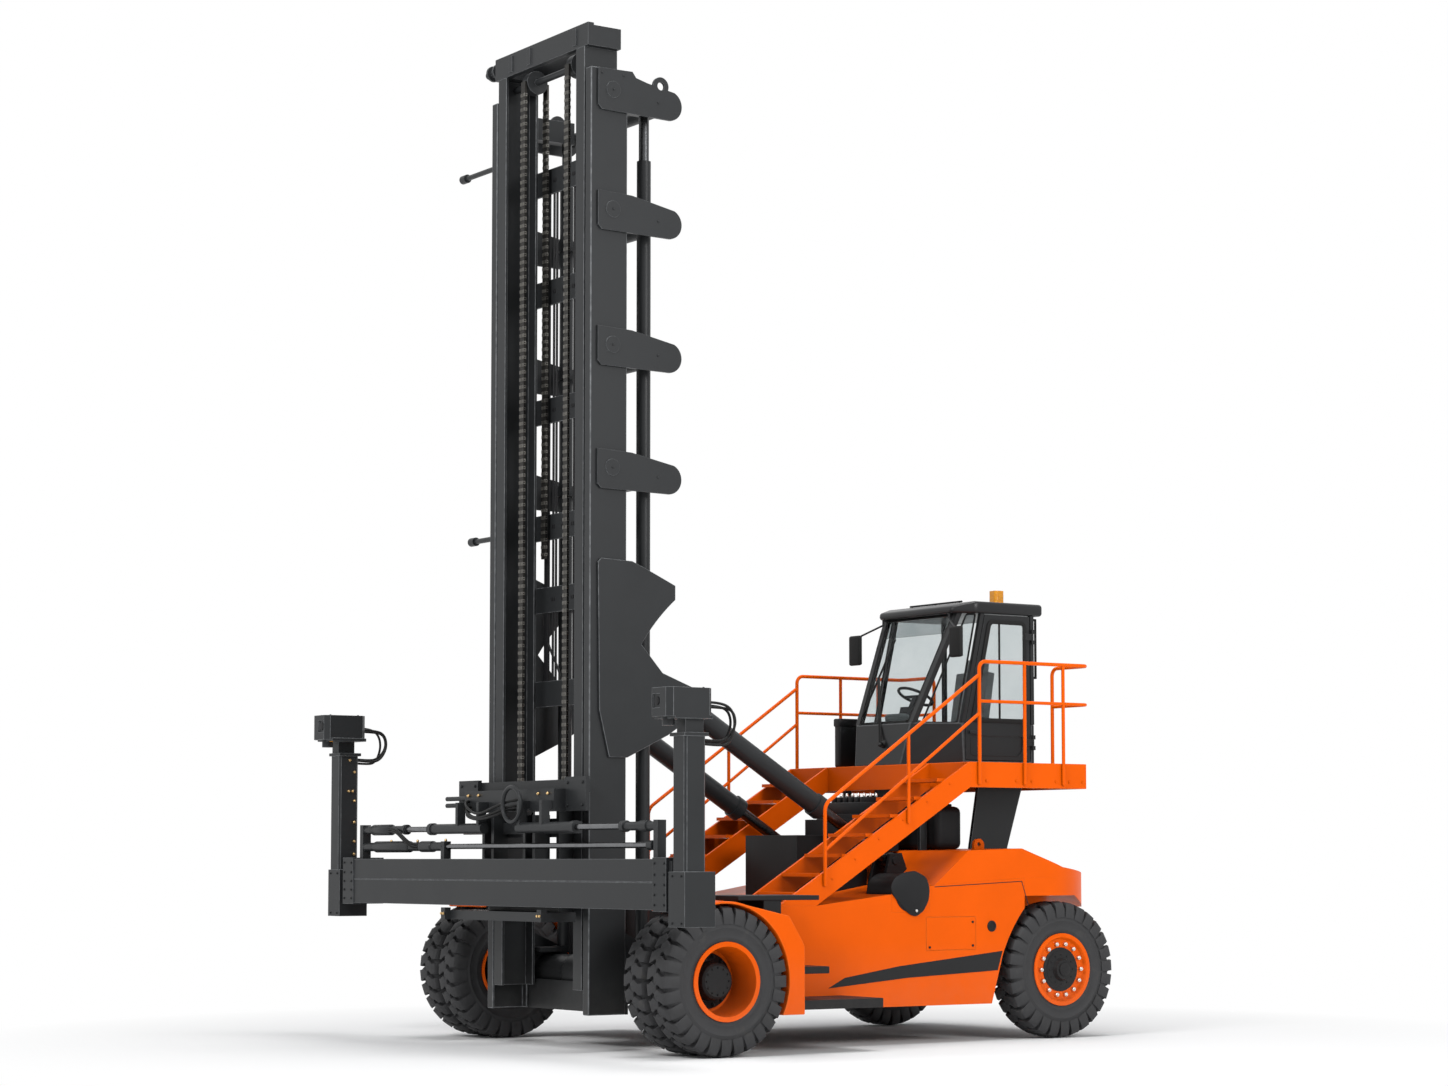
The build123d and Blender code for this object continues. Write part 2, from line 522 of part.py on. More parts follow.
with BuildPart() as cab_posts:
    for s in SIDES.values():
        post((s * (SCREEN_BASE[0] - 10), SCREEN_BASE[1] + 35, CAB_WAIST),
             (s * (SCREEN_TOP[0] - 10), SCREEN_TOP[1] + 35, CAB_EAVES), 28, 28)
        post((s * (CAB_HALF_WIDTH - 20), QUARTER_BASE_Y + 15, CAB_WAIST),
             (s * (CAB_HALF_WIDTH - 20), QUARTER_TOP_Y + 15, CAB_EAVES), 20, 22)
        post((s * (CAB_HALF_WIDTH - 20), CAB_REAR - 20, CAB_WAIST),
             (s * (CAB_HALF_WIDTH - 20), CAB_REAR - 20, CAB_EAVES), 20, 20)
    for z in (2700, 3700):
        bar((HINGE_X, HINGE_Y, z - 40), (HINGE_X, HINGE_Y, z + 100), 6)
        for z0 in (z - 40, z + 61):
            slab((CAB_HALF_WIDTH, HINGE_X + 8), (HINGE_Y - 10, HINGE_Y + 24), (z0, z0 + 39))
save(cab_posts.part, "cab_posts")

with BuildPart() as cab_roof:
    half = [(SCREEN_TOP[0] + 10, SCREEN_TOP[1] - 60), (CAB_HALF_WIDTH + 10, QUARTER_TOP_Y - 60),
            (CAB_HALF_WIDTH + 10, CAB_REAR + 110)]
    plan_profile(half + [(-x, y) for x, y in reversed(half)], CAB_EAVES, ROOF_TOP)
    fillet(cab_roof.edges().filter_by(Axis.Z), 45)
    fillet(cab_roof.faces().sort_by(Axis.Z)[-1].edges(), 38)
save(cab_roof.part, "cab_roof")

# Panes in planes through the cab's outer corners, set between the posts
GLASS = 8


def between(a, b, t):
    return tuple(p + (q - p) * t for p, q in zip(a, b))


with BuildPart() as cab_panes:
    a = (-SCREEN_BASE[0] + 39, SCREEN_BASE[1] + 20, CAB_WAIST)
    b = (SCREEN_BASE[0] - 39, SCREEN_BASE[1] + 20, CAB_WAIST)
    c = (SCREEN_TOP[0] - 39, SCREEN_TOP[1] + 18, CAB_EAVES - 4)
    d = (-SCREEN_TOP[0] + 39, SCREEN_TOP[1] + 18, CAB_EAVES - 4)
    sheet([a, b, c, d], GLASS)
    for s in SIDES.values():
        low = [(s * SCREEN_BASE[0], SCREEN_BASE[1] + 30, CAB_WAIST),
               (s * CAB_HALF_WIDTH, QUARTER_BASE_Y + 30, CAB_WAIST)]
        high = [(s * SCREEN_TOP[0], SCREEN_TOP[1] + 28, CAB_EAVES - 5),
                (s * CAB_HALF_WIDTH, QUARTER_TOP_Y + 28, CAB_EAVES - 5)]
        low = [between(*low, 0.16), between(*low, 0.86)]
        high = [between(*high, 0.3), between(*high, 0.7)]
        sheet([low[0], low[1], high[1], high[0]], GLASS * s)
    slab((-CAB_HALF_WIDTH + 40, CAB_HALF_WIDTH - 40), (CAB_REAR - 24, CAB_REAR - 16), (CAB_WAIST, CAB_EAVES))
    side_profile([(QUARTER_BASE_Y + 37, CAB_WAIST), (CAB_REAR - 40, CAB_WAIST), (CAB_REAR - 40, CAB_EAVES),
                  (QUARTER_TOP_Y + 37, CAB_EAVES)], -CAB_HALF_WIDTH + 24, -CAB_HALF_WIDTH + 16)
save(cab_panes.part, "cab_panes")

# Cab door on the left, hung at its rear edge, with its own pane
door_line = [(DOOR_FRONT + 6, PLATFORM_TOP + 46), (DOOR_REAR, PLATFORM_TOP + 46), (DOOR_REAR, CAB_EAVES - 8),
             (QUARTER_TOP_Y + 46, CAB_EAVES - 8), (DOOR_FRONT + 6, CAB_WAIST + 6)]
window_line = [(DOOR_FRONT + 76, CAB_WAIST + 30), (DOOR_REAR - 60, CAB_WAIST + 30), (DOOR_REAR - 60, CAB_EAVES - 78),
               (QUARTER_TOP_Y + 90, CAB_EAVES - 78)]
with BuildPart() as cab_door:
    side_profile(door_line, CAB_HALF_WIDTH - 36, CAB_HALF_WIDTH - 2)
    side_profile(window_line, CAB_HALF_WIDTH - 50, CAB_HALF_WIDTH + 10, mode=Mode.SUBTRACT)
    for z in (2700, 3700):
        slab((CAB_HALF_WIDTH - 10, HINGE_X), (DOOR_REAR - 60, DOOR_REAR), (z, z + 60))
        slab((CAB_HALF_WIDTH + 3, HINGE_X), (DOOR_REAR - 60, HINGE_Y), (z, z + 60))
        bar((HINGE_X, HINGE_Y, z), (HINGE_X, HINGE_Y, z + 60), 12)
        bar((HINGE_X, HINGE_Y, z - 5), (HINGE_X, HINGE_Y, z + 65), 6 + FIT, mode=Mode.SUBTRACT)
    slab((CAB_HALF_WIDTH - 4, CAB_HALF_WIDTH + 22), (DOOR_FRONT + 40, DOOR_FRONT + 150), (2800, 2830))
    side_profile([(DOOR_FRONT + 70, 2600), (DOOR_REAR - 130, 2600), (DOOR_REAR - 90, 2650), (DOOR_REAR - 90, 2780),
                  (DOOR_FRONT + 70, 2780)], CAB_HALF_WIDTH - 9, CAB_HALF_WIDTH, mode=Mode.SUBTRACT)
save(cab_door.part, "cab_door")

with BuildPart() as door_pane:
    side_profile(window_line, CAB_HALF_WIDTH - 24, CAB_HALF_WIDTH - 16)
save(door_pane.part, "door_pane")

# Inside the cab: seat on its base, console and steering wheel
with BuildPart() as cab_interior:
    floor = PLATFORM_TOP + 40
    slab((-150, 150), (3880, 4180), (floor, floor + 260))
    side_profile([(3330, floor), (3480, floor), (3560, floor + 520), (3470, floor + 520)], -90, 90)
    bar((0, 3510, floor + 480), (0, 3580, floor + 620), 25)
    with Locations(Location((0, behind(3580), floor + 620), (-26.6, 0, 0))):
        Torus(170, 14)
        Box(330, 30, 16)
save(cab_interior.part, "cab_interior")

with BuildPart() as cab_seat:
    slab((-260, 260), (3800, 4280), (floor + 260, floor + 380))
    side_profile([(4180, floor + 380), (4280, floor + 380), (4380, floor + 1000), (4290, floor + 1000)], -250, 250)
save(cab_seat.part, "cab_seat")

# Beacon, mirrors and lamps
with BuildPart() as beacon:
    bar((300, 4330, ROOF_TOP), (300, 4330, ROOF_TOP + 25), 64)
    with BuildSketch(Plane(origin=(300, behind(4330), ROOF_TOP + 25))) as lens:
        RectangleRounded(112, 112, 30)
    extrude(lens.sketch, amount=120)
save(beacon.part, "beacon")

with BuildPart() as mirrors:
    for s in SIDES.values():
        x = s * (SCREEN_TOP[0] - 40)
        y = SCREEN_TOP[1] - 45
        bar((x, y, CAB_EAVES), (x, y, CAB_EAVES - 60), 10)
        bar((x, y, CAB_EAVES - 50), (s * 760, y - 120, CAB_EAVES - 160), 9)
        slab((s * 700, s * 860), (y - 150, y - 115), (CAB_EAVES - 420, CAB_EAVES - 150))
save(mirrors.part, "mirrors")

# Outer mast: rails, foot, ties with side plates, tilt plates
with BuildPart() as outer_rails:
    for s in SIDES.values():
        w = MAST_HALF_WIDTH
        slab((s * (w - RAIL_WEB), s * w), (MAST_FRONT, MAST_REAR), (MAST_BOTTOM, MAST_TOP))
        for y in (MAST_FRONT, MAST_REAR - RAIL_FLANGE):
            slab((s * (w - RAIL_REACH), s * w), (y, y + RAIL_FLANGE), (MAST_BOTTOM, MAST_TOP))
save(outer_rails.part, "outer_rails")

with BuildPart() as mast_foot:
    slab((-MAST_HALF_WIDTH, MAST_HALF_WIDTH), (MAST_REAR, MAST_REAR + PLATE), (MAST_BOTTOM, 570))
    for s in SIDES.values():
        w = MAST_HALF_WIDTH
        side_profile([(MAST_REAR, 400), (120, 400), (230, 520), (230, 740), (140, 845), (MAST_REAR, 1000)],
                     s * (w - 90), s * w)
        slab((s * (LIFT_CYLINDER_X - 80), s * w), (LIFT_CYLINDER_Y - 75, LIFT_CYLINDER_Y + 75), (800, 860))
        slab((s * (LIFT_CYLINDER_X - 80), s * w), (MAST_REAR, LIFT_CYLINDER_Y), (810, 850))
    ring(FRONT_AXLE_Y, [(-1000, 0), (-1000, AXLE_TUBE_RADIUS + FIT), (1000, AXLE_TUBE_RADIUS + FIT), (1000, 0)],
         mode=Mode.SUBTRACT)
save(mast_foot.part, "mast_foot")

with BuildPart() as mast_plates:
    for level, z in enumerate(TIE_HEIGHTS):
        tail = [(-527, z - 113), (-490, z - 150), (215, z - 161), (334, z - 25, 0), (258, z + 91)]
        shoulder = [(-180, z + 176), (-527, z + 191)]
        if level == 0:
            shoulder = [(-19, z + 138), (-142, z + 169), (-180, z + 219), (-527, z + 212)]
        for s in SIDES.values():
            w = MAST_HALF_WIDTH
            side_profile(tail + shoulder, s * w, s * (w + PLATE))
            bar((s * (w + 5), -377, z + 35), (s * (w + PLATE + 8), -377, z + 35), 72)
            if level == 0:
                bar((s * w, 115, z + 132), (s * (w + PLATE), 115, z + 132), 80)
                bar((s * (w - 5), 115, z + 132), (s * (w + PLATE + 5), 115, z + 132), 36, mode=Mode.SUBTRACT)
save(mast_plates.part, "mast_plates")

with BuildPart() as mast_tubes:
    for level, z in enumerate(TIE_HEIGHTS):
        bar((-MAST_HALF_WIDTH, 270, z), (MAST_HALF_WIDTH, 270, z), 60)
        for s in SIDES.values():
            if level:
                slab((s * (LIFT_CYLINDER_X - 85), s * (LIFT_CYLINDER_X + 85)), (LIFT_CYLINDER_Y - 85, 260),
                     (z - 45, z + 45))
                bar((s * LIFT_CYLINDER_X, LIFT_CYLINDER_Y, z - 60), (s * LIFT_CYLINDER_X, LIFT_CYLINDER_Y, z + 60),
                    LIFT_BARREL_RADIUS, mode=Mode.SUBTRACT)
    bar((-MAST_HALF_WIDTH, 230, 3925), (MAST_HALF_WIDTH, 230, 3925), 58)
    w = MAST_HALF_WIDTH
    for y in (-500, -430):
        bar((-w - 70, y, 700), (-w - 70, y, 8300), 17)
    for z in (900, 2300, 4450, 5450, 6600, 7750):
        slab((-w - 95, -w), (-525, -405), (z - 22, z + 22))
    for z, reach in ((8000, 1040), (4560, 840)):
        bar((-w, -300, z), (-w - reach, -300, z), 24)
        bar((-w - reach + 90, -300, z), (-w - reach, -300, z), 40)
save(mast_tubes.part, "mast_tubes")

with BuildPart() as tilt_plates:
    y, z = TILT_MAST_PIN
    outline = [(-500, 2900), (-517, 4170), (-487, 4204), (-170, 4191), (-18, 4129), (274, 4000), (274, 3876),
               (87, 3691, 0), (-75, 3477), (144, 3237), (y + 30, z + 95), (y + 85, z + 40), (y + 85, z - 50),
               (y + 20, z - 95), (200, 2700), (-215, 2500), (-400, 2500)]
    for s in SIDES.values():
        w = MAST_HALF_WIDTH
        side_profile(outline, s * w, s * (w + PLATE))
        bar((s * (TILT_X - 100), y, z), (s * (w + PLATE + 20), y, z), PIN_RADIUS)
        bar((s * (TILT_X + 105), y, z), (s * w, y, z), 80)
        bar((s * (TILT_X - 100), y, z), (s * (TILT_X - 75), y, z), 62)
save(tilt_plates.part, "tilt_plates")

with BuildPart() as lift_barrels:
    for s in SIDES.values():
        x, y = s * LIFT_CYLINDER_X, LIFT_CYLINDER_Y
        bar((x, y, 860), (x, y, BARREL_TOP), LIFT_BARREL_RADIUS)
        bar((x, y, 880), (x, y, BARREL_TOP + 10), LIFT_ROD_RADIUS + FIT, mode=Mode.SUBTRACT)
save(lift_barrels.part, "lift_barrels")

# Inner mast: rails with slide pads, crossbars, head with sheaves, lift rods, chains
with BuildPart() as inner_rails:
    for s in SIDES.values():
        w = INNER_HALF_WIDTH
        slab((s * (w - 25), s * w), (MAST_FRONT, MAST_REAR - 35), (INNER_BOTTOM, INNER_TOP))
        for y in (MAST_FRONT, MAST_REAR - 35 - RAIL_FLANGE):
            slab((s * (w - INNER_REACH), s * w), (y, y + RAIL_FLANGE), (INNER_BOTTOM, INNER_TOP))
        slab((s * w, s * (MAST_HALF_WIDTH - RAIL_WEB - FIT)),
             (MAST_FRONT + RAIL_FLANGE + FIT, MAST_REAR - RAIL_FLANGE - FIT), (INNER_BOTTOM + 20, INNER_BOTTOM + 220))
save(inner_rails.part, "inner_rails")

with BuildPart() as inner_crossbars:
    for z in CROSSBAR_HEIGHTS:
        slab((-INNER_HALF_WIDTH, INNER_HALF_WIDTH), (MAST_REAR - 35, MAST_REAR - 10), (z - 115, z + 115))
save(inner_crossbars.part, "inner_crossbars")

with BuildPart() as inner_head:
    w = INNER_HALF_WIDTH
    slab((-w - 60, w + 60), (MAST_FRONT, MAST_FRONT + 60), (INNER_TOP, HEAD_TOP))
    for s in SIDES.values():
        slab((s * (w - INNER_REACH), s * (w + 60)), (MAST_FRONT, MAST_REAR - 35), (INNER_TOP, HEAD_TOP - 20))
        slab((s * (w - 125), s * (w - 5)), (MAST_REAR - 35, LIFT_CYLINDER_Y + 60), (8150, 8350))
    slab((-w, w), (MAST_REAR - 95, MAST_REAR - 35), (INNER_TOP, INNER_TOP + 120))
    for x in (-518, -196, 583):
        slab((x - 30, x + 30), (MAST_FRONT - 12, MAST_FRONT), (INNER_TOP + 30, HEAD_TOP - 25))
    bar((-w - 60, -500, HEAD_TOP - 78), (-w - 330, -500, HEAD_TOP - 78), 34)
    for x in (-w - 130, -w - 230):
        bar((x, -500, HEAD_TOP - 78), (x - 24, -500, HEAD_TOP - 78), 72)
    for s in SIDES.values():
        x = s * CHAIN_X
        bar((x - 45, SHEAVE_Y, SHEAVE_Z), (x + 45, SHEAVE_Y, SHEAVE_Z), SHEAVE_RADIUS)
    bar((-INNER_HALF_WIDTH + 25, SHEAVE_Y, SHEAVE_Z), (INNER_HALF_WIDTH - 25, SHEAVE_Y, SHEAVE_Z), 30)
save(inner_head.part, "inner_head")

with BuildPart() as lift_rods:
    for s in SIDES.values():
        x, y = s * LIFT_CYLINDER_X, LIFT_CYLINDER_Y
        bar((x, y, 1280), (x, y, 8150), LIFT_ROD_RADIUS)
save(lift_rods.part, "lift_rods")

with BuildPart() as lift_chains:
    for s in SIDES.values():
        x = s * CHAIN_X
        slab((x - 35, x + 35), (SHEAVE_Y - SHEAVE_RADIUS - 20, SHEAVE_Y - SHEAVE_RADIUS), (2290, SHEAVE_Z))
        slab((x - 35, x + 35), (SHEAVE_Y + SHEAVE_RADIUS, SHEAVE_Y + SHEAVE_RADIUS + 20), (4300, SHEAVE_Z))
save(lift_chains.part, "lift_chains")

# Carriage with rollers in the inner rails
ROLLER_MID = (MAST_FRONT + MAST_REAR - 35) / 2
ROLLER_RADIUS = (MAST_DEPTH - 35) / 2 - RAIL_FLANGE - FIT
CARRIAGE_HALF = INNER_HALF_WIDTH - INNER_REACH - 15
CARRIAGE_FRONT = BEAM_REAR + 20
SHIFT_Y = -948
SHIFT_Z = 1900
SHIFT_ROD_RADIUS = 26
GUIDE_Z = 1745
with BuildPart() as carriage:
    for s in SIDES.values():
        w = CARRIAGE_HALF
        slab((s * (w - 45), s * w), (CARRIAGE_FRONT, -330), (1140, 2310))
        for z in (1300, 2110):
            bar((s * w, ROLLER_MID, z), (s * (INNER_HALF_WIDTH - 25 - FIT), ROLLER_MID, z), ROLLER_RADIUS)
    slab((-960, 960), (CARRIAGE_FRONT, MAST_FRONT - 15), (2200, 2310))
    slab((-CARRIAGE_HALF, CARRIAGE_HALF), (CARRIAGE_FRONT, MAST_FRONT - 15), (1140, 1320))
    slab((-960, 960), (CARRIAGE_FRONT - 60, CARRIAGE_FRONT), (1850, 1950))
    slab((-CARRIAGE_HALF, CARRIAGE_HALF), (CARRIAGE_FRONT, CARRIAGE_FRONT + 40), (1820, 1980))
    slab((-760, 760), (CARRIAGE_FRONT - 160, CARRIAGE_FRONT), (2040, 2230))
    slab((-860, 860), (-1000, CARRIAGE_FRONT), (1105, 1185))
    for z in (2110, 2170):
        bar((-740, -830, z), (-1170, -830, z), 20)
    for s in SIDES.values():
        slab((s * 740, s * 1080), (CARRIAGE_FRONT - 40, CARRIAGE_FRONT), (2040, 2330))
        slab((s * 790, s * 860), (-1060, -1000), (1105, 1208))
        for x in (330, 700):
            side_profile([(SHIFT_Y - 40, SHIFT_Z - 10), (SHIFT_Y + 40, SHIFT_Z - 10), (SHIFT_Y + 40, 2060),
                          (CARRIAGE_FRONT - 160, 2060), (CARRIAGE_FRONT - 160, 2130), (SHIFT_Y - 40, 2130)], s * x, s * (x + 40))
        bar((s * 300, SHIFT_Y, SHIFT_Z), (s * 1250, SHIFT_Y, SHIFT_Z), 45)
        bar((s * 1190, SHIFT_Y, SHIFT_Z), (s * 1250, SHIFT_Y, SHIFT_Z), 54)
        bar((s * 320, SHIFT_Y, SHIFT_Z), (s * 1260, SHIFT_Y, SHIFT_Z), SHIFT_ROD_RADIUS + FIT, mode=Mode.SUBTRACT)
    with Locations(Location((256, behind(SHIFT_Y - 48), 2100), (90, 0, 0))):
        Torus(150, 18)
save(carriage.part, "carriage")

# Spreader: hollow beam with two cells, hung on the carriage bar by hooks
with BuildPart() as spreader_beam:
    slab((-BEAM_HALF_LENGTH, BEAM_HALF_LENGTH), (BEAM_FRONT, BEAM_REAR), (BEAM_BOTTOM, BEAM_TOP))
    for s in SIDES.values():
        slab((s * (BEAM_HALF_LENGTH - 120), s * (BEAM_HALF_LENGTH + 80)), (BEAM_FRONT - 12, BEAM_REAR + 12),
             (BEAM_BOTTOM - 12, BEAM_TOP + 12))
    slab((-BEAM_HALF_LENGTH + 120, BEAM_HALF_LENGTH - 120), (BEAM_FRONT - 5, BEAM_FRONT + 5), (1446, 1454), mode=Mode.SUBTRACT)
    for y in (BEAM_FRONT + BEAM_WALL, BEAM_FRONT + 2 * BEAM_WALL + CELL_DEPTH):
        slab((-BEAM_HALF_LENGTH - 90, BEAM_HALF_LENGTH + 90), (y, y + CELL_DEPTH),
             (BEAM_BOTTOM + BEAM_WALL, BEAM_TOP - BEAM_WALL), mode=Mode.SUBTRACT)
save(spreader_beam.part, "spreader_beam")

with BuildPart() as spreader_hooks:
    for s in SIDES.values():
        for x in (250, 410):
            slab((s * x, s * (x + 40)), (CARRIAGE_FRONT - 160, CARRIAGE_FRONT - 8), (BEAM_TOP, 2010))
            slab((s * (x - 5), s * (x + 45)), (CARRIAGE_FRONT - 60 - FIT, CARRIAGE_FRONT + 10),
                 (1850 - FIT, 1950 + FIT), mode=Mode.SUBTRACT)
        slab((s * 300, s * 460), (BEAM_REAR, CARRIAGE_FRONT - FIT), (BEAM_BOTTOM + 10, BEAM_BOTTOM + 80))
    for s, sleeve in ((1, 1950), (-1, 1680)):
        slab((s * 2480, s * 2540), (SHIFT_Y - 42, SHIFT_Y + 42), (BEAM_TOP, SHIFT_Z + 48))
        bar((s * sleeve, SHIFT_Y, SHIFT_Z), (s * 2500, SHIFT_Y, SHIFT_Z), 36)
    slab((-1010, -950), (SHIFT_Y - 36, SHIFT_Y + 36), (BEAM_TOP, GUIDE_Z + 46))
    bar((-2500, SHIFT_Y, GUIDE_Z), (-1000, SHIFT_Y, GUIDE_Z), 40)
save(spreader_hooks.part, "spreader_hooks")

with BuildPart() as shift_rods:
    for s, sleeve in ((1, 1950), (-1, 1680)):
        bar((s * 750, SHIFT_Y, SHIFT_Z), (s * sleeve, SHIFT_Y, SHIFT_Z), SHIFT_ROD_RADIUS)
    bar((-950, SHIFT_Y, GUIDE_Z), (2480, SHIFT_Y, GUIDE_Z), 24)
save(shift_rods.part, "shift_rods")

# Telescoping legs: each inner beam fills one cell, the leg ends in a hook box
for side, s in SIDES.items():
    cell = BEAM_FRONT + BEAM_WALL + (0 if s > 0 else CELL_DEPTH + BEAM_WALL)
    leg_in = LEG_OUTER_X - LEG_WIDTH
    with BuildPart() as leg_slide:
        slab((-s * (BEAM_HALF_LENGTH - 100), s * (leg_in - 37)), (cell + FIT, cell + CELL_DEPTH - FIT),
             (BEAM_BOTTOM + BEAM_WALL + FIT, BEAM_TOP - BEAM_WALL - FIT))
    save(leg_slide.part, f"leg_slide_{side}")
    with BuildPart() as leg:
        plan_profile(trimmed((s * leg_in, s * LEG_OUTER_X), (BEAM_FRONT - 10, BEAM_FRONT + 190), 18), 1500, LEG_TOP - 150)
        slab((s * (leg_in - 37), s * (LEG_OUTER_X + 10)), (BEAM_FRONT - 20, BEAM_FRONT + 270), (1100, 1535))
        slab((s * (leg_in - 20), s * (LEG_OUTER_X + 12)), (BEAM_FRONT - 22, BEAM_FRONT + 205), (LEG_TOP - 150, LEG_TOP - 122))
        slab((s * (leg_in + 50), s * (LEG_OUTER_X - 10)), (BEAM_FRONT, BEAM_FRONT + 170), (LEG_TOP - 122, LEG_TOP))
        head = (s * (LEG_OUTER_X - 250), s * (LEG_OUTER_X + 40))
        plan_profile(trimmed(head, (-FRONT_REACH, -800), 45), LEG_TOP, LEG_TOP + BOX_HEIGHT)
        slab((head[0] - s * 12, head[1]), (-FRONT_REACH + 60, -812), (LEG_TOP - 14, LEG_TOP + 16))
        slab((s * (LEG_OUTER_X - 200), s * (LEG_OUTER_X - 90)), (-FRONT_REACH - 5, -FRONT_REACH + 14),
             (LEG_TOP + 70, LEG_TOP + 180), mode=Mode.SUBTRACT)
        bar((s * (LEG_OUTER_X - 105), -FRONT_REACH + 90, LEG_TOP - 70), (s * (LEG_OUTER_X - 105), -FRONT_REACH + 90, LEG_TOP),
            50)
    save(leg.part, f"leg_{side}")

# Tilt cylinders between mast and chassis
tilt_run = Vector(0, TILT_CHASSIS_PIN[0] - TILT_MAST_PIN[0], TILT_CHASSIS_PIN[1] - TILT_MAST_PIN[1])
tilt_dir = tilt_run.normalized()


def along(x, distance):
    return (x, TILT_MAST_PIN[0] + tilt_dir.Y * distance, TILT_MAST_PIN[1] + tilt_dir.Z * distance)


BARREL_LENGTH = 1750
with BuildPart() as tilt_barrels:
    for s in SIDES.values():
        x = s * TILT_X
        bar((x - 65, *TILT_MAST_PIN), (x + 65, *TILT_MAST_PIN), 88)
        bar(along(x, 75), along(x, BARREL_LENGTH), TILT_BARREL_RADIUS)
        bar(along(x, BARREL_LENGTH - 90), along(x, BARREL_LENGTH), TILT_BARREL_RADIUS + 16)
        bar(along(x, 600), along(x, BARREL_LENGTH + 10), TILT_ROD_RADIUS + FIT, mode=Mode.SUBTRACT)
        bar((x - 80, *TILT_MAST_PIN), (x + 80, *TILT_MAST_PIN), PIN_RADIUS + FIT, mode=Mode.SUBTRACT)
save(tilt_barrels.part, "tilt_barrels")

with BuildPart() as tilt_rods:
    for s in SIDES.values():
        x = s * TILT_X
        bar(along(x, 900), along(x, tilt_run.length - 20), TILT_ROD_RADIUS)
        bar((x - 60, *TILT_CHASSIS_PIN), (x + 60, *TILT_CHASSIS_PIN), 75)
        bar((x - 80, *TILT_CHASSIS_PIN), (x + 80, *TILT_CHASSIS_PIN), 40 + EYE_PLAY, mode=Mode.SUBTRACT)
save(tilt_rods.part, "tilt_rods")
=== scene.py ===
import math

import bpy
from mathutils import Matrix, Vector


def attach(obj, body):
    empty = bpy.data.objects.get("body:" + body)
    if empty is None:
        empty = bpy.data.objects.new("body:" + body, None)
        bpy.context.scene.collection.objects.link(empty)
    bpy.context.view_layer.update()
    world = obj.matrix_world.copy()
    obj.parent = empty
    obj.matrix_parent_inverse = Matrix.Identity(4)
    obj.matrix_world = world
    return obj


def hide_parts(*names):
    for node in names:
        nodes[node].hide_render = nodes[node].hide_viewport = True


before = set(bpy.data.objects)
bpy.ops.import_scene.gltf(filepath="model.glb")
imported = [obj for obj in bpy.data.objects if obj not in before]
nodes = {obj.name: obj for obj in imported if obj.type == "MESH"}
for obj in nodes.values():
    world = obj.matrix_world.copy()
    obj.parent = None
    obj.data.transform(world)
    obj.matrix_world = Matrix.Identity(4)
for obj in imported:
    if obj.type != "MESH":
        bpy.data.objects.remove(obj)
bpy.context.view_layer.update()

# Places are in metres: X to the left, the distance behind the drive axle, the height
AXLE_Y = -1.81
WHEELBASE = 4.165
STEER_Y = AXLE_Y + WHEELBASE
AXLE_Z = 0.625
SIDES = {"left": 1, "right": -1}
ORIGIN = (0.0, 0.0, 0.0)
NO_TURN = (0.0, 0.0, 0.0)
ACROSS = (0.0, math.pi / 2, 0.0)
FORWARD = (0.0, -1.0, 0.0)
UP = (0.0, 0.0, 1.0)


def from_axle(x, y, z):
    """Place given as X, distance behind the drive axle, Z."""
    return Vector((x, AXLE_Y + y, z))


# Finishes
NOISE_RANGE = (0.3, 0.7)
RUB_AND_HIGHLIGHT_RANGE = (0.35, 0.65)
DUST_HEIGHTS = (0.15, 0.9)
DUST = (0.33, 0.3, 0.27)
# Pale grey for the lighter edges: partly bare metal where scuffed, partly painted highlight
BARE_AND_LIT_EDGE = (0.24, 0.25, 0.26)
RUBBED_AND_LIT_EDGE = "rubbed_and_lit_edge"
# Where the Mix node keeps its colour sockets
MIX_FIRST, MIX_SECOND, MIX_RESULT = 6, 7, 2


def tuned(node, values):
    """Set a node's sockets by name."""
    for socket, value in values.items():
        node.inputs[socket].default_value = value
    return node


def finish_nodes(name):
    """New finish with its node tree and its main shader."""
    mat = bpy.data.materials.new(name)
    mat.use_nodes = True
    return mat, mat.node_tree, mat.node_tree.nodes["Principled BSDF"]


def object_noise(tree, scale, detail, rough=0.55):
    place = tree.nodes.new("ShaderNodeTexCoord")
    noise = tree.nodes.new("ShaderNodeTexNoise")
    tuned(noise, {"Scale": scale, "Detail": detail, "Roughness": rough})
    tree.links.new(place.outputs["Object"], noise.inputs["Vector"])
    return noise.outputs["Fac"]


def ramp(tree, source, stops):
    node = tree.nodes.new("ShaderNodeValToRGB")
    band = node.color_ramp
    while len(band.elements) < len(stops):
        band.elements.new(0.5)
    for element, (at, colour) in zip(band.elements, stops):
        element.position = at
        element.color = (*colour, 1.0)
    tree.links.new(source, node.inputs["Fac"])
    return node.outputs["Color"]


def level(tree, source, source_range, low, high):
    """Value carried from the source's range into another."""
    node = tree.nodes.new("ShaderNodeMapRange")
    tuned(node, {"From Min": source_range[0], "From Max": source_range[1], "To Min": low, "To Max": high})
    tree.links.new(source, node.inputs["Value"])
    return node.outputs["Result"]


def shade(colour, factor):
    return tuple(min(1.0, c * factor) for c in colour)


def tones(tree, noise, dark, light):
    """Colour that wanders between two tones."""
    return ramp(tree, noise, list(zip(NOISE_RANGE, (dark, light))))


def coloured(tree, shader, colour):
    tree.links.new(colour, shader.inputs["Base Color"])


def glossed(tree, shader, noise, low, high):
    """Roughness that wanders between two values."""
    tree.links.new(level(tree, noise, NOISE_RANGE, low, high), shader.inputs["Roughness"])


def maths(tree, operation, a, b):
    node = tree.nodes.new("ShaderNodeMath")
    node.operation = operation
    tree.links.new(a, node.inputs[0])
    tree.links.new(b, node.inputs[1])
    return node.outputs["Value"]


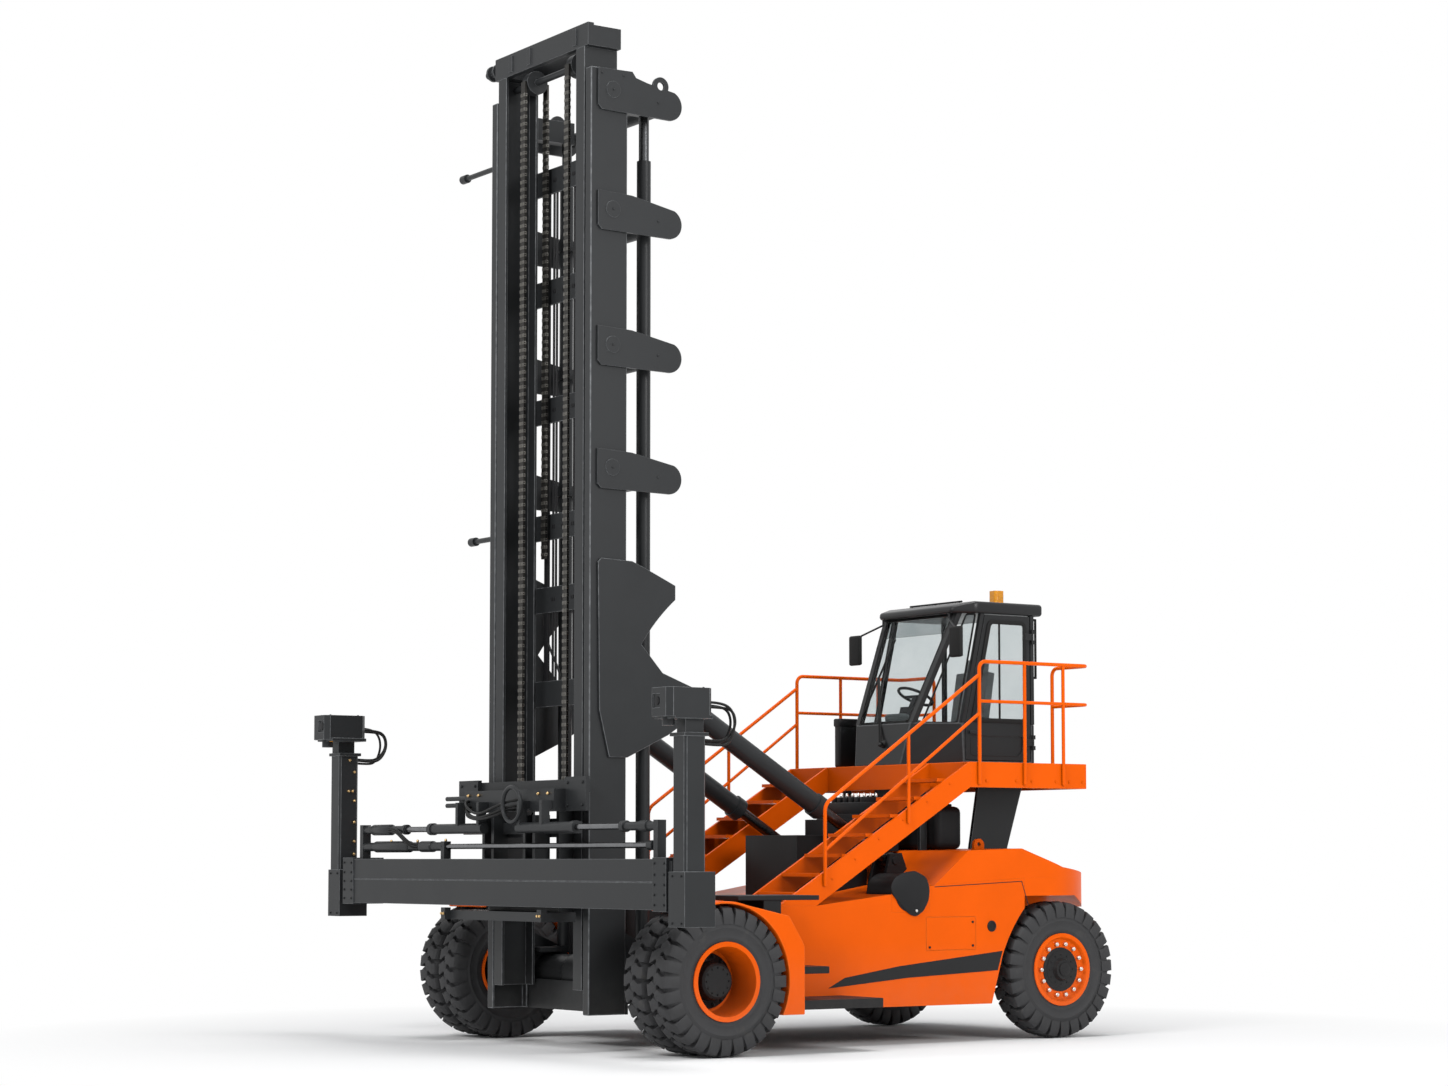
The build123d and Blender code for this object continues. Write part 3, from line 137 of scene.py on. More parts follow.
def mix_colour(tree, factor, a, b):
    """One colour socket laid over by a plain colour."""
    node = tree.nodes.new("ShaderNodeMix")
    node.data_type = "RGBA"
    tree.links.new(factor, node.inputs["Factor"])
    tree.links.new(a, node.inputs[MIX_FIRST])
    node.inputs[MIX_SECOND].default_value = (*b, 1.0)
    return node.outputs[MIX_RESULT]


def mix_shaders(tree, factor, a, b):
    node = tree.nodes.new("ShaderNodeMixShader")
    tree.links.new(factor, node.inputs["Fac"])
    tree.links.new(a.outputs[0], node.inputs[1])
    tree.links.new(b.outputs[0], node.inputs[2])
    return node.outputs[0]


def bumped(tree, shader, source, strength, distance):
    node = tree.nodes.new("ShaderNodeBump")
    tuned(node, {"Strength": strength, "Distance": distance})
    tree.links.new(source, node.inputs["Height"])
    tree.links.new(node.outputs["Normal"], shader.inputs["Normal"])


def paint(name, colour, rough, spread, dust=0.0, coat=0.0, peel=0.12, wear_and_highlight=0.0, worn_and_lit=BARE_AND_LIT_EDGE,
          shine=0.2, painted_bounce=None):
    """Sprayed paint: faint mottling, orange peel, lighter edges that are partly scuffing and partly painted
    highlight, and road dust low down.

    Diffuse rays see a painted colour here in place of the paint, darker and greyer than it, so the light that
    leaves the paint for another surface casts painted shade on the floor and nearby parts.
    """
    mat, tree, shader = finish_nodes(name)
    mottle = object_noise(tree, 1.7, 5.0)
    out = tones(tree, mottle, shade(colour, 1 - spread), shade(colour, 1 + spread))
    if dust:
        place = tree.nodes.new("ShaderNodeTexCoord")
        split = tree.nodes.new("ShaderNodeSeparateXYZ")
        tree.links.new(place.outputs["Object"], split.inputs["Vector"])
        low = level(tree, split.outputs["Z"], DUST_HEIGHTS, dust, 0.0)
        specks = object_noise(tree, 9.0, 6.0, 0.7)
        out = mix_colour(tree, maths(tree, "MULTIPLY", low, specks), out, DUST)
    # Lighter edge faces: partly scuffing, partly painted highlight along the edges
    if wear_and_highlight:
        edge = tree.nodes.new("ShaderNodeAttribute")
        edge.attribute_name = RUBBED_AND_LIT_EDGE
        amount = level(tree, object_noise(tree, 18.0, 4.0), RUB_AND_HIGHLIGHT_RANGE, wear_and_highlight * 0.45, wear_and_highlight)
        out = mix_colour(tree, maths(tree, "MULTIPLY", edge.outputs["Fac"], amount), out, worn_and_lit)
    # Painted shade: diffuse rays meet a dark grey here in place of the paint, darkening the floor and nearby
    # parts
    if painted_bounce:
        rays = tree.nodes.new("ShaderNodeLightPath")
        out = mix_colour(tree, rays.outputs["Is Diffuse Ray"], out, painted_bounce)
    coloured(tree, shader, out)
    glossed(tree, shader, mottle, rough * 0.88, rough * 1.14)
    tuned(shader, {"Coat Weight": coat, "Coat Roughness": 0.12, "Specular IOR Level": shine})
    bumped(tree, shader, object_noise(tree, 60.0, 3.0), peel, 0.0015)
    return mat


def tyre_rubber():
    mat, tree, shader = finish_nodes("tyre_rubber")
    grime = object_noise(tree, 6.0, 7.0, 0.65)
    coloured(tree, shader, ramp(tree, grime, [(0.32, (0.016, 0.016, 0.017)), (0.6, (0.032, 0.032, 0.034)),
                                              (0.78, (0.06, 0.058, 0.055))]))
    glossed(tree, shader, grime, 0.55, 0.82)
    bumped(tree, shader, object_noise(tree, 140.0, 5.0, 0.7), 0.35, 0.002)
    return mat


def bright_steel(name, colour, rough):
    mat, tree, shader = finish_nodes(name)
    film = object_noise(tree, 14.0, 5.0)
    coloured(tree, shader, tones(tree, film, shade(colour, 0.85), shade(colour, 1.1)))
    glossed(tree, shader, object_noise(tree, 90.0, 3.0), rough * 0.7, rough * 1.4)
    tuned(shader, {"Metallic": 1.0})
    return mat


def cab_glass(name, clearness):
    mat, tree, shader = finish_nodes(name)
    film = object_noise(tree, 3.0, 5.0)
    coloured(tree, shader, tones(tree, film, shade((0.86, 0.9, 0.905), clearness),
                                 shade((0.92, 0.95, 0.955), clearness)))
    glossed(tree, shader, film, 0.02, 0.06)
    tuned(shader, {"Transmission Weight": 1.0, "IOR": 1.1, "Specular IOR Level": 0.7})
    return mat


def seat_cloth():
    mat, tree, shader = finish_nodes("seat_cloth")
    place = tree.nodes.new("ShaderNodeTexCoord")
    weave = tuned(tree.nodes.new("ShaderNodeTexWave"), {"Scale": 160.0, "Distortion": 1.5})
    tree.links.new(place.outputs["Object"], weave.inputs["Vector"])
    threads = weave.outputs["Fac"]
    coloured(tree, shader, ramp(tree, threads, [(0.2, (0.1, 0.108, 0.112)), (0.8, (0.19, 0.2, 0.205))]))
    tuned(shader, {"Roughness": 0.85, "Sheen Weight": 0.3})
    bumped(tree, shader, threads, 0.4, 0.002)
    return mat


def lamp_lens(name, colour):
    mat, tree, shader = finish_nodes(name)
    ripple = object_noise(tree, 45.0, 2.0)
    coloured(tree, shader, tones(tree, ripple, shade(colour, 0.8), shade(colour, 1.15)))
    tuned(shader, {"Roughness": 0.15, "Transmission Weight": 0.06})
    bumped(tree, shader, ripple, 0.2, 0.002)
    return mat


# Edge colours: the orange's lighter orange is painted highlight; the greys' pale grey is partly scuffing and
# partly painted highlight
# The orange's dark grey for diffuse rays paints shade on the floor and nearby parts
ORANGE = paint("orange_body_paint", (0.95, 0.122, 0.001), 0.38, 0.04, dust=0.16, coat=0.03, wear_and_highlight=0.16,
               worn_and_lit=(1.0, 0.34, 0.08), shine=0.07, painted_bounce=(0.1, 0.07, 0.06))
MAST_GREY = paint("mast_dark_grey", (0.0235, 0.025, 0.0265), 0.42, 0.1, dust=0.12, coat=0.05, wear_and_highlight=0.7)
CAB_GREY = paint("cab_black", (0.017, 0.0175, 0.0185), 0.36, 0.08, coat=0.12, wear_and_highlight=0.3)
GEAR_BLACK = paint("gear_black", (0.012, 0.012, 0.013), 0.46, 0.12, dust=0.1)
STRIPE_BLACK = paint("stripe_black", (0.018, 0.018, 0.019), 0.42, 0.1)
TRIM = paint("cab_trim", (0.03, 0.03, 0.032), 0.6, 0.15, peel=0.4)
SEAL = paint("window_seal_rubber", (0.012, 0.012, 0.012), 0.62, 0.15, peel=0.5)
HOSE = paint("hose_rubber", (0.011, 0.011, 0.011), 0.5, 0.12, peel=0.3)
DASH = paint("dash_grey_green", (0.1, 0.112, 0.114), 0.6, 0.1, peel=0.4)
RUBBER = tyre_rubber()
CHROME = bright_steel("rod_chrome", (0.17, 0.173, 0.18), 0.2)
CHAIN_STEEL = bright_steel("chain_steel", (0.26, 0.25, 0.23), 0.4)
OILED_STEEL = bright_steel("oiled_chain", (0.045, 0.043, 0.04), 0.45)
DULL_ROD = bright_steel("dull_rod", (0.075, 0.077, 0.08), 0.32)
ZINC = bright_steel("zinc_nuts", (0.78, 0.77, 0.74), 0.3)
BRASS = bright_steel("brass_fittings", (0.72, 0.5, 0.24), 0.3)
GLASS = cab_glass("cab_glass", 0.84)
TINT = cab_glass("tinted_glass", 0.6)
FABRIC = seat_cloth()
AMBER = lamp_lens("beacon_amber", (1.0, 0.36, 0.006))

# The finish of each CAD node, mast grey where none is named
WEARS = {
    ORANGE: ["side_tanks", "front_fenders", "counterweight", "engine_hood", "stairs", "handrails", "platform",
             "front_rim_left", "front_rim_right", "rear_rim_left", "rear_rim_right"],
    CAB_GREY: ["cab_tub", "cab_posts", "cab_roof", "cab_door", "cab_pillars", "mirrors"],
    GEAR_BLACK: ["access_steps", "deck_gear", "air_cleaner", "front_hub_left", "front_hub_right",
                 "rear_hub_left", "rear_hub_right", "chassis_frame"],
    RUBBER: ["front_tyres_left", "front_tyres_right", "rear_tyre_left", "rear_tyre_right"],
    CHROME: ["shift_rods"],
    DULL_ROD: ["lift_rods", "tilt_rods"],
    OILED_STEEL: ["lift_chains"],
    GLASS: ["cab_panes", "door_pane"],
    AMBER: ["beacon"],
    TRIM: ["cab_interior", "cab_seat"],
}
finish_of = {node: MAST_GREY for node in nodes}
finish_of.update({node: mat for mat, names in WEARS.items() for node in names})
for name, node in nodes.items():
    node.data.materials.clear()
    node.data.materials.append(finish_of[name])


# Shop tools
def clear():
    bpy.ops.object.select_all(action="DESELECT")


def hold(*pieces):
    """Select these pieces alone, the last one active."""
    clear()
    for piece in pieces:
        piece.select_set(True)
    bpy.context.view_layer.objects.active = pieces[-1]


def named(piece, name):
    piece.name = piece.data.name = name
    return piece


def settle(piece):
    """Put the piece's place, turn and size into its mesh."""
    hold(piece)
    bpy.ops.object.transform_apply(location=True, rotation=True, scale=True)
    return piece


def scrap(piece):
    bpy.data.objects.remove(piece)


def twin(piece):
    """Copy of a piece with a mesh of its own."""
    other = piece.copy()
    other.data = piece.data.copy()
    bpy.context.scene.collection.objects.link(other)
    return other


def joined(name, pieces):
    hold(*pieces)
    if len(pieces) > 1:
        bpy.ops.object.join()
    return named(bpy.context.object, name)


def repeated(name, pattern, spots):
    """Pattern copied to each place and turn, then joined into one piece."""
    copies = []
    for place, turn in spots:
        other = twin(pattern)
        other.location, other.rotation_euler = place, turn
        copies.append(other)
    hold(*copies)
    bpy.ops.object.transform_apply(location=True, rotation=True, scale=True)
    return joined(name, copies)


def placed(name, piece, place, turn=NO_TURN):
    """Piece moved and turned to its place."""
    piece.location, piece.rotation_euler = place, turn
    return named(settle(piece), name)


def outward(s):
    """Turn that points +X away from the machine's middle on either side."""
    return (0.0, 0.0, 0.0 if s > 0 else math.pi)


def facing(way):
    """Turn that brings +X onto a direction."""
    return Vector((1.0, 0.0, 0.0)).rotation_difference(Vector(way)).to_euler()


def eased(piece, width, segments=2, angle=30.0, mark=-1):
    """Round the piece's sharp edges, the new faces marked by a material place if asked."""
    hold(piece)
    edge = piece.modifiers.new("eased_edges", "BEVEL")
    edge.width = width
    edge.segments = segments
    edge.limit_method = "ANGLE"
    edge.angle_limit = math.radians(angle)
    edge.material = mark
    bpy.ops.object.modifier_apply(modifier=edge.name)
    return piece


def dress(piece, body, finish, smooth=35.0):
    """Give the piece its finish and let it ride on a body."""
    piece.data.materials.clear()
    piece.data.materials.append(finish)
    hold(piece)
    bpy.ops.object.shade_smooth_by_angle(angle=math.radians(smooth))
    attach(piece, body)
    return piece


def choose_faces(piece, test):
    """Leave the piece in edit mode with only the faces that pass the test selected."""
    bpy.ops.object.mode_set(mode="OBJECT")
    hold(piece)
    bpy.ops.object.mode_set(mode="EDIT")
    bpy.ops.mesh.select_mode(type="FACE")
    bpy.ops.mesh.select_all(action="DESELECT")
    bpy.ops.object.mode_set(mode="OBJECT")
    for face in piece.data.polygons:
        face.select = test(face.center, face.normal)
    bpy.ops.object.mode_set(mode="EDIT")


def choose_points(piece, test):
    """Leave the active piece in edit mode with only the points that pass the test selected."""
    bpy.ops.object.mode_set(mode="EDIT")
    bpy.ops.mesh.select_mode(type="VERT")
    bpy.ops.mesh.select_all(action="DESELECT")
    bpy.ops.object.mode_set(mode="OBJECT")
    for point in piece.data.vertices:
        point.select = test(point.co)
    bpy.ops.object.mode_set(mode="EDIT")


def close_mesh():
    """Turn every face outwards and leave edit mode."""
    bpy.ops.mesh.select_all(action="SELECT")
    bpy.ops.mesh.normals_make_consistent(inside=False)
    bpy.ops.object.mode_set(mode="OBJECT")


def sharp_block(xs, ys, zs):
    """Box between limits, the start of a block or a pad."""
    clear()
    centre = from_axle(sum(xs) / 2, sum(ys) / 2, sum(zs) / 2)
    bpy.ops.mesh.primitive_cube_add(size=1.0, location=centre)
    bpy.context.object.scale = [abs(a - b) for a, b in (xs, ys, zs)]
    return settle(bpy.context.object)


def block(xs, ys, zs, ease=0.004, segments=2):
    """Box between limits with rounded edges."""
    return eased(sharp_block(xs, ys, zs), ease, segments)


def rod(start, end, radius, sides=16, ease=0.003):
    """Round bar between two places with eased ends."""
    a, b = from_axle(*start), from_axle(*end)
    clear()
    bpy.ops.mesh.primitive_cylinder_add(vertices=sides, radius=radius, depth=(b - a).length,
                                        location=(a + b) / 2,
                                        rotation=(b - a).to_track_quat("Z", "Y").to_euler())
    return eased(settle(bpy.context.object), ease)


def cross_pin(sides, radius, length, place):
    """Sharp-ended bar along X, the start of a bolt head or a chain pin."""
    clear()
    bpy.ops.mesh.primitive_cylinder_add(vertices=sides, radius=radius, depth=length, location=place,
                                        rotation=ACROSS)
    return settle(bpy.context.object)


def start_point(place):
    """One lone point in edit mode, ready to be drawn out."""
    clear()
    bpy.ops.mesh.primitive_plane_add(size=0.002, location=place)
    bpy.ops.object.mode_set(mode="EDIT")
    bpy.ops.mesh.select_mode(type="VERT")
    bpy.ops.mesh.select_all(action="SELECT")
    bpy.ops.mesh.merge(type="CENTER")


def draw_out(step):
    bpy.ops.mesh.extrude_region_move(TRANSFORM_OT_translate={"value": step})


def draw_line(places):
    """Line through places in edit mode, selected from end to end."""
    start_point(places[0])
    for a, b in zip(places, places[1:]):
        draw_out(b - a)
    bpy.ops.mesh.select_all(action="SELECT")


def cut_plate(places, depth, corner=0.0, steps=3):
    """Plate cut to an outline, its corners rounded, drawn out by a depth."""
    draw_line([Vector(p) for p in places])
    bpy.ops.mesh.edge_face_add()
    bpy.ops.mesh.select_all(action="SELECT")
    if corner:
        bpy.ops.mesh.bevel(offset=corner, segments=steps, affect="VERTICES")
        bpy.ops.mesh.select_all(action="SELECT")
    draw_out(depth)
    close_mesh()
    return settle(bpy.context.object)


def side_plate(name, x, outline, thickness, corner=0.0, steps=3):
    """Plate that faces sideways, its outline given as distances and heights."""
    places = [from_axle(x, y, z) for y, z in outline]
    return named(cut_plate(places, (thickness, 0.0, 0.0), corner, steps), name)


def gasket(places, depth, width, corner):
    """Plate with its middle opened, as a window's seal."""
    seal = cut_plate(places, depth, corner, 4)
    way = Vector(depth).normalized()
    choose_faces(seal, lambda centre, normal: abs(normal.dot(way)) > 0.99)
    bpy.ops.mesh.inset(thickness=width, use_individual=True)
    bpy.ops.mesh.bridge_edge_loops()
    close_mesh()
    return eased(seal, 0.003)


def turned(profile, steps):
    """Ring or cap spun about the X axis through (X, radius) places."""
    draw_line([Vector((x, 0.0, r)) for x, r in profile])
    bpy.ops.mesh.spin(steps=steps, angle=2 * math.pi, center=ORIGIN, axis=(1.0, 0.0, 0.0))
    bpy.ops.mesh.select_all(action="SELECT")
    bpy.ops.mesh.remove_doubles(threshold=0.0002)
    close_mesh()
    return settle(bpy.context.object)


def softened(node, body, width, segments):
    """Copy of a CAD node with its edges rounded, standing for it."""
    piece = named(twin(nodes[node]), node + "_finished")
    hold(piece)
    bpy.ops.object.mode_set(mode="EDIT")
    bpy.ops.mesh.select_mode(type="VERT")
    bpy.ops.mesh.select_all(action="SELECT")
    bpy.ops.mesh.remove_doubles(threshold=0.00005)
    bpy.ops.mesh.select_all(action="SELECT")
    bpy.ops.mesh.dissolve_limited(angle_limit=math.radians(1.0))
    bpy.ops.object.mode_set(mode="OBJECT")
    piece.data.materials.append(None)
    eased(piece, width, segments, angle=25.0, mark=1)
    # Mark the rounded edge faces, which the paint lightens: partly scuffing, partly painted highlight
    rubbed_and_lit = piece.data.attributes.new(RUBBED_AND_LIT_EDGE, "FLOAT", "FACE")
    for face in piece.data.polygons:
        rubbed_and_lit.data[face.index].value = float(face.material_index == 1)
        face.material_index = 0
    dress(piece, body, finish_of[node], smooth=30.0)
    even = piece.modifiers.new("even_faces", "WEIGHTED_NORMAL")
    even.weight = 100
    even.keep_sharp = True
    bpy.ops.object.modifier_apply(modifier=even.name)
    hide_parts(node)


def hex_head(radius, height):
    """Bolt head along +X with its shank's end."""
    head = cross_pin(6, radius, height, (height / 2, 0.0, 0.0))
    choose_faces(head, lambda centre, normal: normal.x > 0.9)
    bpy.ops.mesh.inset(thickness=radius * 0.35)
    draw_out((height * 0.35, 0.0, 0.0))
    bpy.ops.object.mode_set(mode="OBJECT")
    return eased(head, radius * 0.08, 1)


def bolts(name, places, way, radius, height, body, finish):
    """Bolt heads at places, all pointing one way, as one piece."""
    pattern = hex_head(radius, height)
    row = repeated(name, pattern, [(from_axle(*p), facing(way)) for p in places])
    scrap(pattern)
    dress(row, body, finish)


def bolt_circle(name, s, x, axle, circle, count, radius, height, body, finish):
    """Ring of bolt heads on a wheel's outer side."""
    spots = []
    for i in range(count):
        a = 2 * math.pi * i / count
        spots.append((s * x, axle + circle * math.cos(a), AXLE_Z + circle * math.sin(a)))
    bolts(name, spots, (s, 0.0, 0.0), radius, height, body, finish)


# Tyres: a casing with a rounded shoulder and two rows of slanting lugs half a step apart
LUGS = 28
LUG_TURN = 2 * math.pi / LUGS
LUG_START = (-0.016, 0.0, 0.593)
LUG_SECTION = (0.05, 0.096, 1.0)
LUG_STEPS = ((0.052, 0.038, 0.0), (0.058, -0.034, 0.0), (0.04, 0.004, -0.012), (0.016, 0.0, -0.034),
             (0.003, 0.0, -0.05))
HALF_CASING = [(0.0, 0.586), (0.06, 0.585), (0.105, 0.578), (0.128, 0.562), (0.141, 0.53), (0.147, 0.49),
               (0.1485, 0.45), (0.1505, 0.447), (0.1505, 0.44), (0.148, 0.437), (0.146, 0.40), (0.142, 0.372),
               (0.1435, 0.369), (0.143, 0.36), (0.1405, 0.356), (0.1395, 0.335), (0.1385, 0.333),
               (0.125, 0.306), (0.0, 0.3045)]
CASING_STEPS = 72
# Each tyre's X and the turn of its tread
TWIN_TYRES = ((1.927, 0.0), (1.575, 0.11))
STEER_TYRE = ((1.269, 0.06),)

clear()
bpy.ops.mesh.primitive_plane_add(size=1.0, location=LUG_START, rotation=ACROSS)
bpy.context.object.scale = LUG_SECTION
lug = settle(bpy.context.object)
bpy.ops.object.mode_set(mode="EDIT")
bpy.ops.mesh.select_all(action="SELECT")
for step in LUG_STEPS:
    draw_out(step)
close_mesh()
eased(lug, 0.006, angle=28.0)
other_lug = twin(lug)
other_lug.scale = (-1.0, 1.0, 1.0)
settle(other_lug)
bpy.ops.object.mode_set(mode="EDIT")
close_mesh()
tread = []
for pattern, shift in ((lug, 0.0), (other_lug, 0.5)):
    turns = [(LUG_TURN * (i + shift), 0.0, 0.0) for i in range(LUGS)]
    tread.append(repeated("lug_row", pattern, [(ORIGIN, turn) for turn in turns]))
casing = turned(HALF_CASING + [(-x, r) for x, r in reversed(HALF_CASING)], CASING_STEPS)
tyre = joined("tyre_pattern", tread + [casing])
scrap(lug)
scrap(other_lug)
for side, s in SIDES.items():
    for name, body, node, axle_y, spots in (
            ("twin_tyres", "front_wheels", "front_tyres", AXLE_Y, TWIN_TYRES),
            ("steer_tyre", "rear_wheel", "rear_tyre", STEER_Y, STEER_TYRE)):
        spots = [((s * x, axle_y, AXLE_Z), (turn, 0.0, 0.0)) for x, turn in spots]
        piece = repeated(f"{name}_{side}", tyre, spots)
        dress(piece, f"{body}_{side}", RUBBER, smooth=40.0)
        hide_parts(f"{node}_{side}")
scrap(tyre)

# Wheel nuts, hub bolts, flanges and caps
STEER_RIM_X = 1.383
# Each row: name, X, distance behind the drive axle, circle, count, head's radius and height, wheel, finish
WHEEL_BOLTS = (
    ("steer_wheel_nuts", STEER_RIM_X, WHEELBASE, 0.235, 14, 0.02, 0.03, "rear_wheel", ZINC),
    ("steer_hub_bolts", 1.398, WHEELBASE, 0.136, 12, 0.01, 0.009, "rear_wheel", GEAR_BLACK),
    ("drive_hub_bolts", 1.941, 0.0, 0.112, 12, 0.009, 0.008, "front_wheels", GEAR_BLACK),
    ("drive_wheel_nuts", 1.786, 0.0, 0.203, 14, 0.016, 0.026, "front_wheels", GEAR_BLACK),
)
# Each row: name, X, steps of the spin, profile
STEER_HUB_RINGS = (
    ("steer_hub_flange", STEER_RIM_X, 48, [(0.0, 0.16), (0.0, 0.2), (0.008, 0.2), (0.012, 0.194),
                                           (0.012, 0.16), (0.0, 0.16)]),
    ("steer_hub_cap", 1.448, 40, [(0.0, 0.0), (0.012, 0.0), (0.012, 0.052), (0.009, 0.06), (0.0, 0.06)]),
)
for side, s in SIDES.items():
    for name, x, axle, circle, count, radius, height, wheel, finish in WHEEL_BOLTS:
        bolt_circle(f"{name}_{side}", s, x, axle, circle, count, radius, height, f"{wheel}_{side}", finish)
    for name, x, steps, profile in STEER_HUB_RINGS:
        ring = placed(f"{name}_{side}", turned(profile, steps), (s * x, STEER_Y, AXLE_Z), outward(s))
        dress(ring, f"rear_wheel_{side}", GEAR_BLACK)

# Softer edges on the plates and castings that show most: node, body, rounding, steps
for node, body, width, steps in (
        ("engine_hood", "chassis", 0.05, 4),
        ("counterweight", "chassis", 0.03, 3),
        ("side_tanks", "chassis", 0.01, 2),
        ("front_fenders", "chassis", 0.008, 2),
        ("platform", "chassis", 0.005, 2),
        ("stairs", "chassis", 0.003, 1),
        ("cab_tub", "chassis", 0.028, 3),
        ("cab_door", "door", 0.006, 2),
        ("cab_pillars", "chassis", 0.006, 2),
        ("cab_posts", "chassis", 0.008, 2),
        ("spreader_beam", "spreader", 0.011, 2),
        ("spreader_hooks", "spreader", 0.004, 2),
        ("leg_left", "leg_left", 0.011, 2),
        ("leg_right", "leg_right", 0.011, 2),
        ("mast_plates", "mast", 0.006, 2),
        ("tilt_plates", "mast", 0.006, 2),
        ("outer_rails", "mast", 0.009, 2),
        ("inner_head", "inner_mast", 0.005, 2),
        ("inner_crossbars", "inner_mast", 0.004, 2),
        ("carriage", "carriage", 0.004, 2),
        ("access_steps", "chassis", 0.006, 2),
        ("deck_gear", "chassis", 0.03, 3),
        ("air_cleaner", "chassis", 0.012, 3),
        ("inner_rails", "inner_mast", 0.005, 2)):
    softened(node, body, width, steps)

# Tank sides: black stripe, hood seam, port ring, door catches, platform and stair bolts
TANK_SKIN_X = 1.4
STRIPE = ((1.52, 0.512), (1.7, 0.6), (2.3, 0.69), (3.475, 0.806), (3.418, 0.632), (2.4, 0.586))
HOOD_SEAM = ((2.7, 1.389), (3.708, 1.435), (3.786, 1.212), (3.779, 1.21), (3.702, 1.428), (2.7, 1.382))
PORT_RING = [(0.003, 0.0), (0.003, 0.036), (0.006, 0.036), (0.009, 0.042), (0.006, 0.05), (0.0, 0.05),
             (0.0, 0.0)]
PORT = (3.35, 1.03)
DOOR_CATCHES = ((2.64, 0.85), (3.13, 0.86), (3.13, 1.07))
PLATFORM_FEET = [(y, 2.34) for y in (3.3, 3.65, 3.83, 4.12, 4.28, 4.44)]
TREADS = ((1.31, 1.345), (1.57, 1.51), (1.82, 1.68), (2.08, 1.86), (2.35, 2.03), (2.62, 2.19),
          (2.88, 2.355))
TREAD_BOLTS = [(y, z - 0.05) for y, z in TREADS]
for side, s in SIDES.items():
    skin = s * TANK_SKIN_X
    stripe = side_plate(f"side_stripe_{side}", skin, STRIPE, s * 0.0025)
    dress(eased(stripe, 0.001, 1), "chassis", STRIPE_BLACK)
    dress(side_plate(f"hood_seam_{side}", skin, HOOD_SEAM, s * 0.0012), "chassis", STRIPE_BLACK)
    ring = placed(f"tank_port_ring_{side}", turned(PORT_RING, 36), from_axle(skin, *PORT), outward(s))
    dress(ring, "chassis", GEAR_BLACK)
    for name, spots, radius, height, finish in (
            ("service_door_catches", DOOR_CATCHES, 0.012, 0.008, GEAR_BLACK),
            ("platform_foot_bolts", PLATFORM_FEET, 0.012, 0.009, ORANGE),
            ("stair_bolts", TREAD_BOLTS, 0.009, 0.007, ORANGE)):
        bolts(f"{name}_{side}", [(skin, y, z) for y, z in spots], (s, 0.0, 0.0), radius, height,
              "chassis", finish)

# Air cleaner's drop-shaped end cover, and the skin that follows it
COVER = ((2.336, 1.514), (2.473, 1.531), (2.599, 1.473), (2.635, 1.376), (2.624, 1.266), (2.563, 1.17),
         (2.48, 1.122), (2.401, 1.146), (2.311, 1.232), (2.221, 1.318), (2.196, 1.387), (2.239, 1.466))
SKIN_CORNERS = {
    "skin_corner_front": ((2.22, 1.163), (2.22, 1.325), (2.33, 1.225), (2.41, 1.163)),
    "skin_corner_rear": ((2.64, 1.163), (2.53, 1.163), (2.6, 1.26), (2.64, 1.33)),
}
cover = side_plate("air_cleaner_cover", 1.404, COVER, 0.012, 0.03, 4)
dress(eased(cover, 0.005), "chassis", GEAR_BLACK)
for name, outline in SKIN_CORNERS.items():
    dress(side_plate(name, 1.385, outline, 0.015), "chassis", ORANGE)
bolts("air_cleaner_bolt", [(1.416, 2.48, 1.175)], (1.0, 0.0, 0.0), 0.014, 0.01, "chassis", ZINC)

# Hydraulic tank with its filters under the platform, and the valve block on the deck housing
FILTER_XS = (-0.45, 0.25, 0.48)
TANK_PIPES = ((-0.22, 1.93), (0.02, 1.97), (0.12, 1.88), (0.26, 1.95))
VALVE_XS = (-0.24, -0.15, -0.06, 0.03, 0.12, 0.21)
tank = [block((-0.72, 0.72), (3.27, 3.57), (1.722, 2.12), 0.06, 4),
        block((-0.6, 0.6), (3.3, 3.54), (2.1, 2.145), 0.012)]
tank += [rod((x, 3.42, 2.13), (x, 3.42, 2.24), 0.07, 28, 0.012) for x in FILTER_XS]
tank += [rod((x, 3.05, z), (x, 3.3, z), 0.024) for x, z in TANK_PIPES]
dress(joined("hydraulic_tank", tank), "chassis", GEAR_BLACK)
valves = [block((-0.3, 0.32), (2.74, 3.02), (2.045, 2.16), 0.01)]
valves += [block((x - 0.03, x + 0.03), (2.78, 2.98), (2.15, 2.21), 0.008) for x in VALVE_XS]
dress(joined("valve_block", valves), "chassis", GEAR_BLACK)
bolts("valve_fittings", [(x, y, 2.205) for x in VALVE_XS for y in (2.81, 2.95)], UP, 0.015, 0.03,
      "chassis", ZINC)

# Spreader's collar bolts, the legs' bolts, brass fittings and lamps, and the carriage's fittings
COLLAR_HEIGHTS = (1.27, 1.35, 1.43, 1.51, 1.6)
LEG_FITTINGS = ((-0.9, 1.68), (-0.9, 1.8), (-0.9, 1.98), (-0.9, 2.18), (-0.96, 2.27), (-0.92, 2.27),
                (-0.9, 2.45), (-0.95, 2.56))
BOX_LAMP = [(0.0, 0.0), (0.014, 0.0), (0.016, 0.02), (0.012, 0.034), (0.0, 0.036)]
GUIDE_FITTINGS = ((-0.98, 1.79), (2.51, 1.79), (-1.5, 1.785), (-2.0, 1.785))
CARRIAGE_FITTINGS = ((-0.68, 2.19), (-0.5, 2.19), (-0.68, 2.08), (0.52, 2.19), (0.68, 2.19), (0.68, 2.08))
GUIDE_BAR_Y = -0.948
